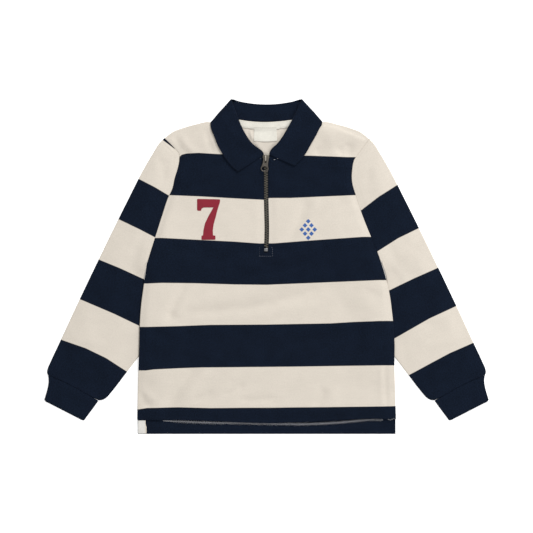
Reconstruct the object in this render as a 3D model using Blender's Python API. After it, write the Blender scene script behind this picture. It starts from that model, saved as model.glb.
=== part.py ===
"""A child's long-sleeve polo shirt with a half zip, laid flat with its front up.

Blender works in metres; the sizes and tables below are in millimetres. X runs across the shirt,
Y from the hem to the collar, and Z up. The origin is on the surface, below the middle of the
outline. The wearer's right side is at -X.

The cloth is built as walls. A flat piece is a sheet of points with its lower face at a height
that depends on what lies below it, so that the layers rest on each other. The sleeves and cuffs
are flattened tubes made from rings.
"""

import math

import bmesh
import bpy
import numpy as np

MM = 0.001

# Cloth, in millimetres.
CLOTH = 1.2
RIB = 1.5
LEAF = 1.5
TRIM = 1.0
GAP = 0.3
EASE = 0.3

# How far the layers are lifted by what lies below them.
NECK_STEP = 2.1
TAPE_STEP = TRIM + GAP
SIDE_STEP = 4.0
PUFF = 1.2
SLEEVE_HEIGHT = 3.4
SLEEVE_TUCK = 22.0
SLEEVE_PUFF = 1.6
CUFF_HEIGHT = 4.0
CUFF_PUFF = 0.8

# The outline, one row a point: x, y. Side rows run upwards, cross rows towards +X.
SIDE_RIGHT = [
    (-198.4, -165.0),
    (-197.8, -147.0),
    (-197.0, -125.0),
    (-196.1, -88.6),
    (-193.8, -57.6),
    (-190.7, -34.3),
    (-185.1, 4.8),
]
SIDE_LEFT = [
    (198.4, -165.0),
    (198.0, -147.0),
    (198.2, -120.0),
    (194.5, -73.1),
    (190.3, -42.1),
    (182.7, -11.1),
    (177.5, 6.0),
]
ARMHOLE_RIGHT = [
    (-185.1, 4.8),
    (-180.6, 19.9),
    (-170.7, 50.9),
    (-160.9, 81.9),
    (-153.1, 105.2),
    (-146.0, 120.7),
    (-142.6, 136.2),
    (-137.8, 151.7),
    (-135.4, 164.5),
    (-135.6, 173.8),
    (-143.6, 183.7),
    (-158.4, 198.4),
]
ARMHOLE_LEFT = [
    (177.5, 6.0),
    (172.7, 19.9),
    (159.8, 50.9),
    (147.7, 81.9),
    (137.5, 112.9),
    (133.2, 128.0),
    (132.3, 138.0),
    (133.0, 149.0),
    (135.8, 164.1),
    (145.7, 178.6),
    (159.4, 197.4),
]
SHOULDER = [
    (158.4, 198.4),
    (145.1, 208.2),
    (129.0, 214.5),
    (107.3, 220.4),
    (90.5, 222.6),
    (84.2, 220.6),
    (70.0, 224.6),
    (52.0, 228.8),
]
HEM_SIDE_Y = -195.0
HEM_SIDE_X = 199.5
FRONT_HEM = [
    (-200.2, -237.6),
    (-110.0, -238.6),
    (-60.0, -240.8),
    (0.7, -242.7),
    (60.0, -240.8),
    (98.0, -238.6),
    (150.0, -236.0),
    (200.6, -236.6),
]
BACK_HEM_X = 199.4
BACK_HEM_Y = -259.2
NECK_BACK = [
    (-52.0, 228.8),
    (-38.0, 226.4),
    (-25.6, 224.7),
    (0.0, 223.5),
    (25.6, 225.2),
    (38.0, 226.7),
    (52.0, 228.8),
]
NECK_FRONT = [
    (52.0, 228.8),
    (46.0, 216.0),
    (37.0, 202.0),
    (26.0, 187.0),
    (14.5, 175.5),
    (4.3, 168.5),
]

# The collar: its folded corners, the roll line and the free edge of the leaf.
CORNER_ROLL = (54.8, 259.2)
CORNER_EDGE = (86.9, 223.1)
FRONT_END_RIGHT = (-3.6, 169.3)
FRONT_END_LEFT = (3.6, 170.2)
ROLL_BACK = [
    (-46.5, 257.0),
    (-25.0, 252.6),
    (0.0, 250.9),
    (25.0, 252.6),
    (46.5, 257.0),
]
EDGE_BACK = [(-60.0, 209.5), (-30.0, 203.5), (0.0, 202.0), (30.0, 203.5), (60.0, 209.5)]
ROLL_RIGHT = [
    (-43.6, 228.9),
    (-37.9, 215.0),
    (-29.4, 200.0),
    (-22.1, 190.4),
    (-10.2, 181.2),
    (-5.4, 177.2),
    (-3.9, 173.0),
]
ROLL_LEFT = [
    (40.5, 228.9),
    (33.9, 216.6),
    (24.8, 200.8),
    (17.3, 190.9),
    (6.7, 180.3),
    (5.0, 177.2),
    (4.2, 173.4),
]
EDGE_RIGHT = [
    (-85.8, 213.9),
    (-80.8, 200.5),
    (-74.3, 184.6),
    (-67.5, 172.8),
    (-55.9, 157.2),
    (-44.3, 146.4),
]
EDGE_LEFT = [
    (82.4, 213.9),
    (77.7, 204.6),
    (68.5, 188.3),
    (59.7, 173.2),
    (51.3, 162.9),
    (43.6, 155.4),
]

# The sleeve, on the +X side: outer edge from the shoulder to the cuff, inner edge from the
# underarm to the cuff, and the line of the cuff seam.
SLEEVE_OUTER = [
    (167.6, 188.6),
    (174.8, 176.9),
    (189.4, 152.1),
    (214.8, 102.5),
    (239.4, 52.9),
    (263.5, 3.3),
    (287.2, -46.3),
    (310.4, -95.9),
    (321.8, -120.7),
    (334.8, -148.6),
    (339.2, -159.1),
    (340.0, -164.1),
    (338.4, -168.4),
]
UNDERARM_RIGHT = [(-187.6, -8.0), (-189.2, -18.0), (-188.6, -29.0)]
UNDERARM_LEFT = [(182.6, -8.0), (185.3, -18.0), (186.4, -29.0)]
SLEEVE_INNER = [
    (181.0, -50.0),
    (177.0, -75.0),
    (178.5, -100.0),
    (186.8, -125.0),
    (204.0, -147.5),
    (221.6, -170.7),
    (240.8, -195.5),
    (246.2, -201.7),
    (250.6, -205.2),
    (255.0, -207.0),
    (259.8, -207.2),
]
CUFF_SEAM = [
    (338.4, -168.4),
    (324.0, -173.8),
    (309.6, -180.2),
    (292.6, -189.1),
    (276.0, -198.6),
    (259.8, -207.2),
]
CUFF_OUTER = [
    (338.2, -169.0),
    (337.4, -174.5),
    (337.6, -181.0),
    (339.9, -192.4),
    (342.4, -201.0),
    (343.9, -206.2),
]
CUFF_INNER = [
    (260.8, -208.8),
    (266.0, -216.2),
    (276.0, -229.6),
    (282.2, -238.0),
]
CUFF_END = [(343.9, -206.2), (340.3, -211.0), (315.6, -223.4), (291.6, -235.8), (282.2, -238.0)]

# The half zip.
ZIP_X = -0.8
SLIT_HALF = 3.6
SLIT_END_Y = 20.5
ZIP_TAPE_WIDTH = 11.0
ZIP_TAPE_Y = (13.0, 166.0)
CHAIN_HALF = 3.0
CHAIN_THICK = 2.0
CHAIN_Y = (28.2, 168.0)
STOP_Y = (23.3, 28.2)
SLIDER_Y = (160.6, 172.6)
SLIDER_HALF = 4.7
SLIDER_PLATE = 1.0
SLIDER_FLANGE = 0.5
BAIL_WIDTH = 2.2
BAIL_LENGTH = 8.0
BAIL_BAR = 0.9
BAIL_OPENING = 2.0
PIVOT_Y = 165.9
PULL_YAW = math.radians(-7.9)
PULL_THICK = 1.2
PULL_LENGTH = 20.4
PULL_NECK_HALF = 3.9
PULL_RING_HALF = 6.3
PULL_HOLE = (4.2, 2.7)
PULL_HOLE_Y = -15.4

# Small pieces that lie on the back panel: low x, high x, low y, high y.
LABEL = (-19.0, 15.2, 193.6, 211.4)
SIZE_TAB = (15.0, 20.0, 209.6, 215.6)
VENT_TAPE = (-199.0, -186.0, -259.0, -243.4)
NECK_TAPE_WIDTH = 11.4
NECK_TAPE_X = 49.0

# Soft folds of the front panel and the sleeves: x0, y0, x1, y1, half width, height.
FRONT_FOLDS = [
    (-150.0, -86.0, 20.0, -46.0, 22.0, 1.4),
    (-20.0, -14.0, 130.0, 30.0, 20.0, 1.6),
    (-165.0, 40.0, -95.0, -10.0, 16.0, 1.3),
    (168.0, 30.0, 100.0, -40.0, 18.0, 1.5),
    (-120.0, -205.0, -40.0, -150.0, 20.0, 1.0),
    (60.0, -190.0, 150.0, -150.0, 22.0, 1.1),
    (96.0, 205.0, 118.0, 140.0, 12.0, 1.2),
]
SLEEVE_FOLDS = [
    (190.0, 120.0, 205.0, 40.0, 14.0, 1.6),
    (215.0, 30.0, 262.0, -30.0, 15.0, 1.3),
    (290.0, -70.0, 262.0, -140.0, 14.0, 1.4),
    (325.0, -140.0, 285.0, -165.0, 10.0, 1.2),
]

# Rows and columns of the meshes, as shares of a curve's length.
ARMHOLE_ROWS = [0, 0.08, 0.16, 0.25, 0.34, 0.43, 0.52, 0.61]
ARMHOLE_ROWS += [0.7, 0.77, 0.82, 0.865, 0.91, 0.96, 1]
CAP_ROWS = [0.985] + ARMHOLE_ROWS[-2:0:-1]
SLEEVE_ROWS = [0, 0.04, 0.08, 0.13, 0.2, 0.28, 0.37, 0.46, 0.55]
SLEEVE_ROWS += [0.64, 0.73, 0.81, 0.88, 0.93, 0.965, 1]
SLEEVE_SHARES = [0, 0.06, 0.18, 0.34, 0.5, 0.66, 0.82, 0.94, 1]
UNDERARM_SHARE = 0.43
LOWER_ROWS = [0, 0.04, 0.12, 0.22, 0.32, 0.42, 0.52, 0.62, 0.72, 0.82, 0.91]
FRONT_COLUMNS = [0, 0.025, 0.08, 0.18, 0.3, 0.42, 0.453, 0.54, 0.64, 0.712, 0.784, 0.856, 0.928, 1]
BACK_COLUMNS = [0, 0.03, 0.09, 0.17, 0.236, 0.255, 0.31, 0.36, 0.395, 0.43, 0.465, 0.5]
NECK_FRONT_STEPS = [0, 0.2, 0.4, 0.6, 0.8, 1]
NECK_BACK_STEPS = [0, 0.125, 0.25, 0.375, 0.5, 0.625, 0.75, 0.875, 1]
NECK_COLUMN = 0.64
BACK_NECK_COLUMN = 0.36
UNDERARM_ROW = 0.5
CENTRE_UNDERARM_Y = 5.0
CUFF_ROWS = [0, 0.08, 0.35, 0.65, 0.92, 1]
FOLD_ANGLES = [30, 90, 150]
COLLAR_ANGLES = [60, 0, -60]
LEAF_SHARES = [0, 0.12, 0.35, 0.6, 0.82, 0.95, 1]
STAND_SHARES = [0, 0.33, 0.67, 1]
LEAF_FRONT_STEPS = [0, 0.15, 0.3, 0.45, 0.6, 0.75, 0.9, 1]
LEAF_BACK_STEPS = [0, 0.1, 0.22, 0.36, 0.5, 0.64, 0.78, 0.9, 1]

# Colours: red, green, blue, each linear.
ECRU = (0.69, 0.63, 0.55)
NAVY = (0.0075, 0.0115, 0.022)
PALE = (0.78, 0.75, 0.68)
DARK_METAL = (0.10, 0.09, 0.08)
BRASS = (0.22, 0.17, 0.11)
SILVER = (0.55, 0.55, 0.54)


def smooth(value):
    """0 below 0, 1 above 1, and a soft step between."""
    value = min(max(value, 0.0), 1.0)
    return value * value * (3.0 - 2.0 * value)


def mirrored(rows):
    return [(-x, y) for x, y in rows]


def spline(rows):
    """A smooth curve through the rows, as a function of the share of its length."""
    points = np.array(rows, float)
    steps = np.linalg.norm(np.diff(points, axis=0), axis=1)
    knots = np.concatenate([[0.0], np.cumsum(steps)]) / steps.sum()
    slopes = np.gradient(points, knots, axis=0)

    def at(share):
        place = min(max(int(np.searchsorted(knots, share, side="right")) - 1, 0), len(steps) - 1)
        span = knots[place + 1] - knots[place]
        t = (share - knots[place]) / span
        start = (1 + 2 * t) * (1 - t) ** 2 * points[place] + t * (1 - t) ** 2 * span * slopes[place]
        end = t * t * (3 - 2 * t) * points[place + 1] - t * t * (1 - t) * span * slopes[place + 1]
        return start + end

    return at


def joined(curves, knots):
    """Curves end to end, each over its own stretch between two knots."""

    def at(share):
        for curve, low, high in zip(curves, knots, knots[1:]):
            if share <= high or high == knots[-1]:
                return curve((share - low) / (high - low))

    return at


def patch(bottom, top, left, right):
    """The surface inside four curves that meet at their ends."""
    corners = [bottom(0.0), bottom(1.0), top(0.0), top(1.0)]

    def at(u, v):
        sides = (1 - u) * left(v) + u * right(v)
        ends = (1 - v) * bottom(u) + v * top(u)
        low = (1 - u) * corners[0] + u * corners[1]
        high = (1 - u) * corners[2] + u * corners[3]
        return sides + ends - (1 - v) * low - v * high

    return at


# Heights of the layers, as functions of the place.

EDGE_OF_RIGHT = np.array([(-199.4, -260.0), (-199.5, -195.0)] + SIDE_RIGHT + ARMHOLE_RIGHT[1:])
EDGE_OF_LEFT = np.array([(199.4, -260.0), (199.5, -195.0)] + SIDE_LEFT + ARMHOLE_LEFT[1:])


def distance_to_side(x, y):
    """How far a place is inside the nearer side edge or armhole."""
    right = x - np.interp(y, EDGE_OF_RIGHT[:, 1], EDGE_OF_RIGHT[:, 0])
    left = np.interp(y, EDGE_OF_LEFT[:, 1], EDGE_OF_LEFT[:, 0]) - x
    return min(right, left)


def side_lift(x, y):
    """The body lies over the sleeve from the underarm to where the sleeve comes out."""
    rise = smooth((95.0 - y) / 85.0) * smooth((y + 208.0) / 55.0)
    return SIDE_STEP * rise * smooth((82.0 - distance_to_side(x, y)) / 55.0)


def neck_lift(x, y):
    """The back of the collar lies under the back panel."""
    return NECK_STEP * smooth((y - 160.0) / 40.0) * smooth((130.0 - abs(x)) / 40.0)


def back_floor(x, y):
    return side_lift(x, y) + neck_lift(x, y)


def back_top(x, y):
    return back_floor(x, y) + CLOTH


def zip_share(x, y):
    """1 over the zip tapes, and 0 away from them."""
    across = smooth((32.0 - abs(x - ZIP_X)) / 18.0)
    return across * smooth((y - ZIP_TAPE_Y[0] + 22.0) / 20.0)


def neck_share(x, y):
    """1 round the neck opening, where the neck tape and the collar lie."""
    return smooth((y - 164.0) / 40.0) * smooth((105.0 - abs(x)) / 40.0)


def ridges(folds, x, y):
    """The height that soft folds add at a place."""
    total = 0.0
    for x0, y0, x1, y1, width, height in folds:
        run = np.array([x1 - x0, y1 - y0])
        length = np.linalg.norm(run)
        along = np.dot([x - x0, y - y0], run) / length**2
        across = ((x - x0) * run[1] - (y - y0) * run[0]) / length
        ends = smooth(along * 2.5 + 0.5) * smooth((1 - along) * 2.5 + 0.5)
        total += height * ends * math.exp(-((across / width) ** 2))
    return total


def front_floor(x, y):
    zipped = zip_share(x, y)
    necked = neck_share(x, y)
    covered = TAPE_STEP * (1 - (1 - zipped) * (1 - necked))
    shoulder_y = np.interp(abs(x), [52.0, 107.0, 160.0], [228.8, 220.0, 197.0])
    edges = smooth(distance_to_side(x, y) / 14.0)
    edges *= smooth((y + 237.0) / 16.0) * smooth((shoulder_y - y) / 20.0)
    soft = (PUFF + ridges(FRONT_FOLDS, x, y)) * edges * (1 - zipped) * (1 - necked)
    return back_top(x, y) + GAP + covered + soft


def leaf_middle(x, y):
    """Half way through the collar leaf where it lies over the front."""
    return front_floor(x, y) + CLOTH + GAP + EASE + LEAF / 2


# Solids.


def material(name, colour, roughness=0.9, metallic=0.0):
    made = bpy.data.materials.new(name)
    made.use_nodes = True
    shader = made.node_tree.nodes["Principled BSDF"]
    shader.inputs["Base Color"].default_value = (*colour, 1.0)
    shader.inputs["Roughness"].default_value = roughness
    shader.inputs["Metallic"].default_value = metallic
    return made


def add_object(name, mesh, colour, roughness=0.9, metallic=0.0):
    """Puts a mesh into the scene, shaded smooth, with a material of its own."""
    mesh.shade_smooth()
    mesh.set_sharp_from_angle(angle=math.radians(35))
    mesh.materials.append(material(name + "_material", colour, roughness, metallic))
    made = bpy.data.objects.new(name, mesh)
    bpy.context.scene.collection.objects.link(made)
    return made


def closed_mesh(name, points, faces):
    """A mesh in metres from points in millimetres, with its faces turned outwards."""
    mesh = bpy.data.meshes.new(name)
    mesh.from_pydata([tuple(MM * c for c in point) for point in points], [], faces)
    work = bmesh.new()
    work.from_mesh(mesh)
    bmesh.ops.recalc_face_normals(work, faces=work.faces)
    work.to_mesh(mesh)
    work.free()
    return mesh


def wall(lower, upper, quads):
    """Points and faces of the solid between two sheets of matching points."""
    count = len(lower)
    uses = {}
    for quad in quads:
        for a, b in zip(quad, quad[1:] + quad[:1]):
            uses[frozenset((a, b))] = None if frozenset((a, b)) in uses else (a, b)
    faces = [tuple(reversed(quad)) for quad in quads]
    faces += [tuple(count + corner for corner in quad) for quad in quads]
    faces += [(a, b, count + b, count + a) for a, b in filter(None, uses.values())]
    return list(lower) + list(upper), faces


def grid_quads(rows, columns, first=0):
    quads = []
    for row in range(rows - 1):
        for column in range(columns - 1):
            corner = first + row * columns + column
            quads.append((corner, corner + 1, corner + columns + 1, corner + columns))
    return quads


def laid_sheet(name, places, quads, floor, thick, colour):
    """A flat piece whose lower face is at floor(x, y)."""
    lower = [(x, y, floor(x, y)) for x, y in places]
    upper = [(x, y, z + thick) for x, y, z in lower]
    return add_object(name, closed_mesh(name, *wall(lower, upper, quads)), colour)


def thickened(name, middle, quads, thick, colour):
    """A piece of even thickness, from a sheet of points half way through the cloth."""
    points = np.array(middle, float)
    normals = np.zeros_like(points)
    for quad in quads:
        a, b, c, d = (points[corner] for corner in quad)
        face = np.cross(c - a, d - b)
        for corner in quad:
            normals[corner] += face / np.linalg.norm(face)
    used = np.unique([corner for quad in quads for corner in quad])
    new_place = {old: new for new, old in enumerate(used)}
    quads = [tuple(new_place[corner] for corner in quad) for quad in quads]
    normals = normals[used] / np.linalg.norm(normals[used], axis=1, keepdims=True)
    lower = points[used] - normals * thick / 2
    upper = points[used] + normals * thick / 2
    return add_object(name, closed_mesh(name, *wall(lower, upper, quads)), colour)


def folded_sheet(name, rows, thick, colour):
    """A piece given by rows of points half way through the cloth, which may fold over."""
    quads = grid_quads(len(rows), len(rows[0]))
    return thickened(name, [point for row in rows for point in row], quads, thick, colour)


# The body.


def body_side(side, armhole, hem_point):
    """A side edge from the hem to the shoulder tip; the underarm is at UNDERARM_ROW."""
    sign = math.copysign(1.0, hem_point[0])
    lower = spline([hem_point, (sign * HEM_SIDE_X, HEM_SIDE_Y)] + side)
    return joined([lower, spline(armhole)], [0.0, UNDERARM_ROW, 1.0])


def body_rows(extra=()):
    rows = [UNDERARM_ROW * share for share in LOWER_ROWS]
    rows += [UNDERARM_ROW + (1 - UNDERARM_ROW) * share for share in ARMHOLE_ROWS]
    return sorted(set(rows) | set(extra))


def centre_line(low_y, high_y):
    def at(share):
        y = np.interp(share, [0.0, UNDERARM_ROW, 1.0], [low_y, CENTRE_UNDERARM_Y, high_y])
        return np.array([ZIP_X, y])

    return at


def neck_front(sign):
    """One half of the front neckline, from the neck point to the top of the slit."""
    return [(sign * x, y) for x, y in NECK_FRONT[:-1]] + [(ZIP_X, NECK_FRONT[-1][1])]


def front_panel():
    """One sheet with the neck cut out and a slit for the zip."""
    neck_y = NECK_FRONT[-1][1]
    slit_share = (SLIT_END_Y - CENTRE_UNDERARM_Y) / (neck_y - CENTRE_UNDERARM_Y)
    slit_row = UNDERARM_ROW + (1 - UNDERARM_ROW) * slit_share
    above_slit = slit_row + 0.004
    rows = body_rows([slit_row, above_slit])
    hem = spline(FRONT_HEM)
    middle = next(s for s in np.linspace(0.4, 0.6, 2001) if hem(s)[0] >= ZIP_X)
    centre = centre_line(hem(middle)[1], neck_y)
    shoulder_left = [ARMHOLE_LEFT[-1]] + SHOULDER[1:]
    neck_left = spline(neck_front(1))
    right = patch(
        lambda u: hem(u * middle),
        joined([spline(mirrored(SHOULDER)), spline(neck_front(-1))], [0.0, NECK_COLUMN, 1.0]),
        body_side(SIDE_RIGHT, ARMHOLE_RIGHT, FRONT_HEM[0]),
        centre,
    )
    left = patch(
        lambda u: hem(middle + u * (1 - middle)),
        joined([lambda u: neck_left(1 - u), spline(shoulder_left[::-1])], [0.0, 1 - NECK_COLUMN, 1.0]),
        centre,
        body_side(SIDE_LEFT, ARMHOLE_LEFT, FRONT_HEM[-1]),
    )
    places = []
    index = {}
    for row, v in enumerate(rows):
        for column, u in enumerate(FRONT_COLUMNS):
            index["right", row, column] = len(places)
            places.append(right(u, v))
        split = v >= above_slit
        if split:
            places[-1] = places[-1] - (SLIT_HALF, 0.0)
        for column, u in enumerate(1 - np.array(FRONT_COLUMNS[::-1])):
            if column == 0 and not split:
                index["left", row, column] = index["right", row, len(FRONT_COLUMNS) - 1]
                continue
            index["left", row, column] = len(places)
            places.append(left(u, v))
            if column == 0:
                places[-1] = places[-1] + (SLIT_HALF, 0.0)
    quads = []
    for half in ("right", "left"):
        for row in range(len(rows) - 1):
            for column in range(len(FRONT_COLUMNS) - 1):
                after = column + 1
                corners = ((row, column), (row, after), (row + 1, after), (row + 1, column))
                quads.append(tuple(index[half, r, c] for r, c in corners))
    return laid_sheet("front_panel", places, quads, front_floor, CLOTH, ECRU)


def back_panel():
    knots = [0.0, BACK_NECK_COLUMN, 1 - BACK_NECK_COLUMN, 1.0]
    shoulder_left = [ARMHOLE_LEFT[-1]] + SHOULDER[1:]
    top = [spline(mirrored(SHOULDER)), spline(NECK_BACK), spline(shoulder_left[::-1])]
    sheet = patch(
        spline([(-BACK_HEM_X, BACK_HEM_Y), (0.0, BACK_HEM_Y), (BACK_HEM_X, BACK_HEM_Y)]),
        joined(top, knots),
        body_side(SIDE_RIGHT, ARMHOLE_RIGHT, (-BACK_HEM_X, BACK_HEM_Y)),
        body_side(SIDE_LEFT, ARMHOLE_LEFT, (BACK_HEM_X, BACK_HEM_Y)),
    )
    rows = body_rows()
    columns = sorted(set(BACK_COLUMNS) | {1 - u for u in BACK_COLUMNS})
    places = [sheet(u, v) for v in rows for u in columns]
    quads = grid_quads(len(rows), len(columns))
    return laid_sheet("back_panel", places, quads, back_floor, CLOTH, ECRU)


# The sleeves and cuffs.


def moved_out(curve, share, sign, amount):
    """A point of a curve, moved to one side of it."""
    step = 0.002
    along = curve(min(share + step, 1.0)) - curve(max(share - step, 0.0))
    along /= np.linalg.norm(along)
    return curve(share) + amount * sign * np.array([along[1], -along[0]])


def flattened_row(plan, height, thick, lift, closed):
    """Points half way through the cloth, round one section of a flattened tube.

    plan(s) is the place across it, with s from the outer edge to the inner edge. A section that
    isn't closed is open along its inner edge.
    """
    width = np.linalg.norm(plan(1.0) - plan(0.0))
    edge = height(0.0, width) / 2
    radius = edge - thick / 2
    near = edge / width
    far = 1 - near if closed else 1.0
    flat = [near + (far - near) * share for share in SLEEVE_SHARES]

    def place(s, rise):
        x, y = plan(s)
        return (x, y, rise + lift(x, y))

    def fold(start, direction, angles):
        reach = direction * radius / width
        turns = [math.radians(angle) for angle in angles]
        return [place(start + reach * math.sin(t), edge - radius * math.cos(t)) for t in turns]

    lower = [place(s, thick / 2) for s in reversed(flat)]
    upper = [place(s, height(s, width) - thick / 2) for s in flat]
    outer = fold(near, -1, FOLD_ANGLES)
    inner = fold(1 - near, 1, FOLD_ANGLES[::-1])
    return lower + outer + upper + inner


def flattened_tube(name, rows, first_closed, thick, colour):
    """A tube from its sections, open at both ends, and along its inner edge to first_closed."""
    count = len(rows[0])
    open_columns = count - len(FOLD_ANGLES)
    quads = []
    for row in range(len(rows) - 1):
        columns = count if row >= first_closed else open_columns - 1
        for column in range(columns):
            after = (column + 1) % count
            low = row * count
            high = low + count
            quads.append((low + column, low + after, high + after, high + column))
    thickened(name, [point for row in rows for point in row], quads, thick, colour)


def sided(rows, sign):
    """A table for the +X side, on the side that sign names."""
    return [(sign * x, y) for x, y in rows]


def sleeve(name, sign, armhole, underarm):
    """A tube that the armhole cuts at a slant, from the shoulder tip to the cuff."""
    edge = spline(armhole)
    outer = spline(sided([SHOULDER[0]] + SLEEVE_OUTER, sign))
    inner = spline([tuple(moved_out(edge, 0.0, sign, GAP))] + underarm + sided(SLEEVE_INNER, sign))
    seam = spline(sided(CUFF_SEAM, sign))
    cap = [moved_out(edge, share, sign, GAP) for share in np.linspace(0.0, 1.0, 60)]
    folds = [(sign * x0, y0, sign * x1, y1, w, h) for x0, y0, x1, y1, w, h in SLEEVE_FOLDS]

    def from_armhole(x, y):
        return min(math.hypot(x - cx, y - cy) for cx, cy in cap)

    def lift(x, y):
        return side_lift(x, y) * (1 - smooth(from_armhole(x, y) / 26.0))

    def section(outer_share, inner_end, seam_share, tucked, closed):
        start = outer(outer_share)

        def plan(s):
            bow = seam(s) - (1 - s) * seam(0.0) - s * seam(1.0)
            return (1 - s) * start + s * inner_end + seam_share * bow

        def height(s, width):
            x, y = plan(s)
            apart = from_armhole(x, y)
            edge_height = 2 * CLOTH + GAP + (SLEEVE_HEIGHT - 2 * CLOTH - GAP) * smooth(apart / 12.0)
            body = smooth(s * width / 26.0) * smooth(((1 - s) * width - tucked) / 36.0)
            ends = smooth(apart / 30.0) * (1 - smooth(seam_share * 1.4 - 0.4))
            return edge_height + (SLEEVE_PUFF + ridges(folds, x, y)) * body * ends

        return flattened_row(plan, height, CLOTH, lift, closed)

    rows = []
    for share in CAP_ROWS:
        inner_end = moved_out(edge, share, sign, GAP)
        rows.append(section(UNDERARM_SHARE * (1 - share), inner_end, 0, 0, False))
    for share in SLEEVE_ROWS:
        outer_share = UNDERARM_SHARE + (1 - UNDERARM_SHARE) * share
        tucked = SLEEVE_TUCK * smooth(share * 5) * smooth((0.75 - share) * 5)
        rows.append(section(outer_share, inner(share), smooth(share * 3 - 2), tucked, True))
    flattened_tube(name, rows, len(CAP_ROWS), CLOTH, ECRU)


def cuff(name, sign):
    start = [CUFF_OUTER[0]] + [(x, y - 2 * GAP) for x, y in CUFF_SEAM[1:-1]] + [CUFF_INNER[0]]
    sides = [spline(sided(rows, sign)) for rows in (start, CUFF_END, CUFF_OUTER, CUFF_INNER)]
    sheet = patch(*sides)

    def height(s, width):
        return CUFF_HEIGHT + CUFF_PUFF * smooth(s * 4) * smooth((1 - s) * 4)

    rows = []
    for t in CUFF_ROWS:
        rows.append(flattened_row(lambda s: sheet(s, t), height, RIB, lambda x, y: 0.0, True))
    flattened_tube(name, rows, 0, RIB, NAVY)


# The collar: a leaf that folds over the shoulders, and the stand inside it.


def fold_rows(edge_end, roll_end, out, heights, shares, angles):
    """Rows round a fold. heights(x, y) gives the lowest and highest middle of the cloth."""
    rows = []
    for angle in angles:
        turn = math.radians(angle)
        row = []
        for share in shares:
            x, y = (1 - share) * np.array(edge_end) + share * np.array(roll_end)
            low, high = heights(x, y)
            radius = (high - low) / 2
            reach = radius * math.cos(turn)
            z = low + radius * (1 + math.sin(turn))
            row.append((x + out[0] * reach, y + out[1] * reach, z))
        rows.append(row)
    return rows


def facet_rows(edge, roll, height, shares, steps):
    """Rows across a flat part of the collar, between two curves."""
    rows = []
    for step in steps:
        low = edge(step)
        high = roll(step)
        row = []
        for share in shares:
            x, y = (1 - share) * low + share * high
            row.append((x, y, height(x, y)))
        rows.append(row)
    return rows


def collar_rows(edges, rolls, corners, outs, heights, shares, steps):
    """Rows from the wearer's right front end, round the back, to the left front end."""

    def over(x, y):
        return heights(x, y)[1]

    def under(x, y):
        return heights(x, y)[0]

    rows = facet_rows(edges[0], rolls[0], over, shares, steps[0])
    rows += fold_rows(*corners[0], outs[0], heights, shares, COLLAR_ANGLES)
    rows += facet_rows(edges[1], rolls[1], under, shares, steps[1])
    rows += fold_rows(*corners[1], outs[1], heights, shares, COLLAR_ANGLES[::-1])
    rows += facet_rows(edges[2], rolls[2], over, shares, steps[2])
    return rows


def inset_corner(sign):
    """The axis of the leaf's fold over a shoulder, inside the outline by its round."""
    roll = np.array([sign * CORNER_ROLL[0], CORNER_ROLL[1]])
    edge = np.array([sign * CORNER_EDGE[0], CORNER_EDGE[1]])
    run = (roll - edge) / np.linalg.norm(roll - edge)
    out = sign * np.array([run[1], -run[0]])
    ends = []
    for point in (edge, roll):
        inside = point - 3.5 * out
        radius = (leaf_middle(*inside) - LEAF / 2) / 2
        ends.append(tuple(point - (radius + LEAF / 2) * out))
    return (ends[0], ends[1]), out


def collar_leaf():
    corner_right, out_right = inset_corner(-1)
    corner_left, out_left = inset_corner(1)
    edges = (
        spline(EDGE_RIGHT[::-1] + [corner_right[0]]),
        spline([corner_right[0]] + EDGE_BACK + [corner_left[0]]),
        spline([corner_left[0]] + EDGE_LEFT),
    )
    rolls = (
        spline(ROLL_RIGHT[::-1] + [corner_right[1]]),
        spline([corner_right[1]] + ROLL_BACK + [corner_left[1]]),
        spline([corner_left[1]] + ROLL_LEFT),
    )
    rows = collar_rows(
        edges,
        rolls,
        (corner_right, corner_left),
        (out_right, out_left),
        lambda x, y: (LEAF / 2, leaf_middle(x, y)),
        LEAF_SHARES,
        ([1 - step for step in LEAF_FRONT_STEPS[::-1]], LEAF_BACK_STEPS, LEAF_FRONT_STEPS),
    )
    return folded_sheet("collar_leaf", rows, LEAF, NAVY)


def stand_corner(sign):
    seam = (sign * 50.2, 230.0)
    roll = (sign * 50.4, 254.6)
    return (seam, roll), np.array([sign * 1.0, 0.0])


def moved_in(rows, amount, sign):
    """The roll line's rows, moved under the leaf."""
    points = np.array(rows, float)
    run = np.gradient(points, axis=0)
    run /= np.linalg.norm(run, axis=1, keepdims=True)
    return [tuple(p) for p in points + amount * sign * np.stack([run[:, 1], -run[:, 0]], axis=1)]


def beside(curve, sign, corners):
    """A neckline moved off the body, which starts or ends at the corners where these are given."""

    def at(share):
        if share in corners:
            return np.array(corners[share])
        return moved_out(curve, share, sign, 2 * GAP)

    return at


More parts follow.
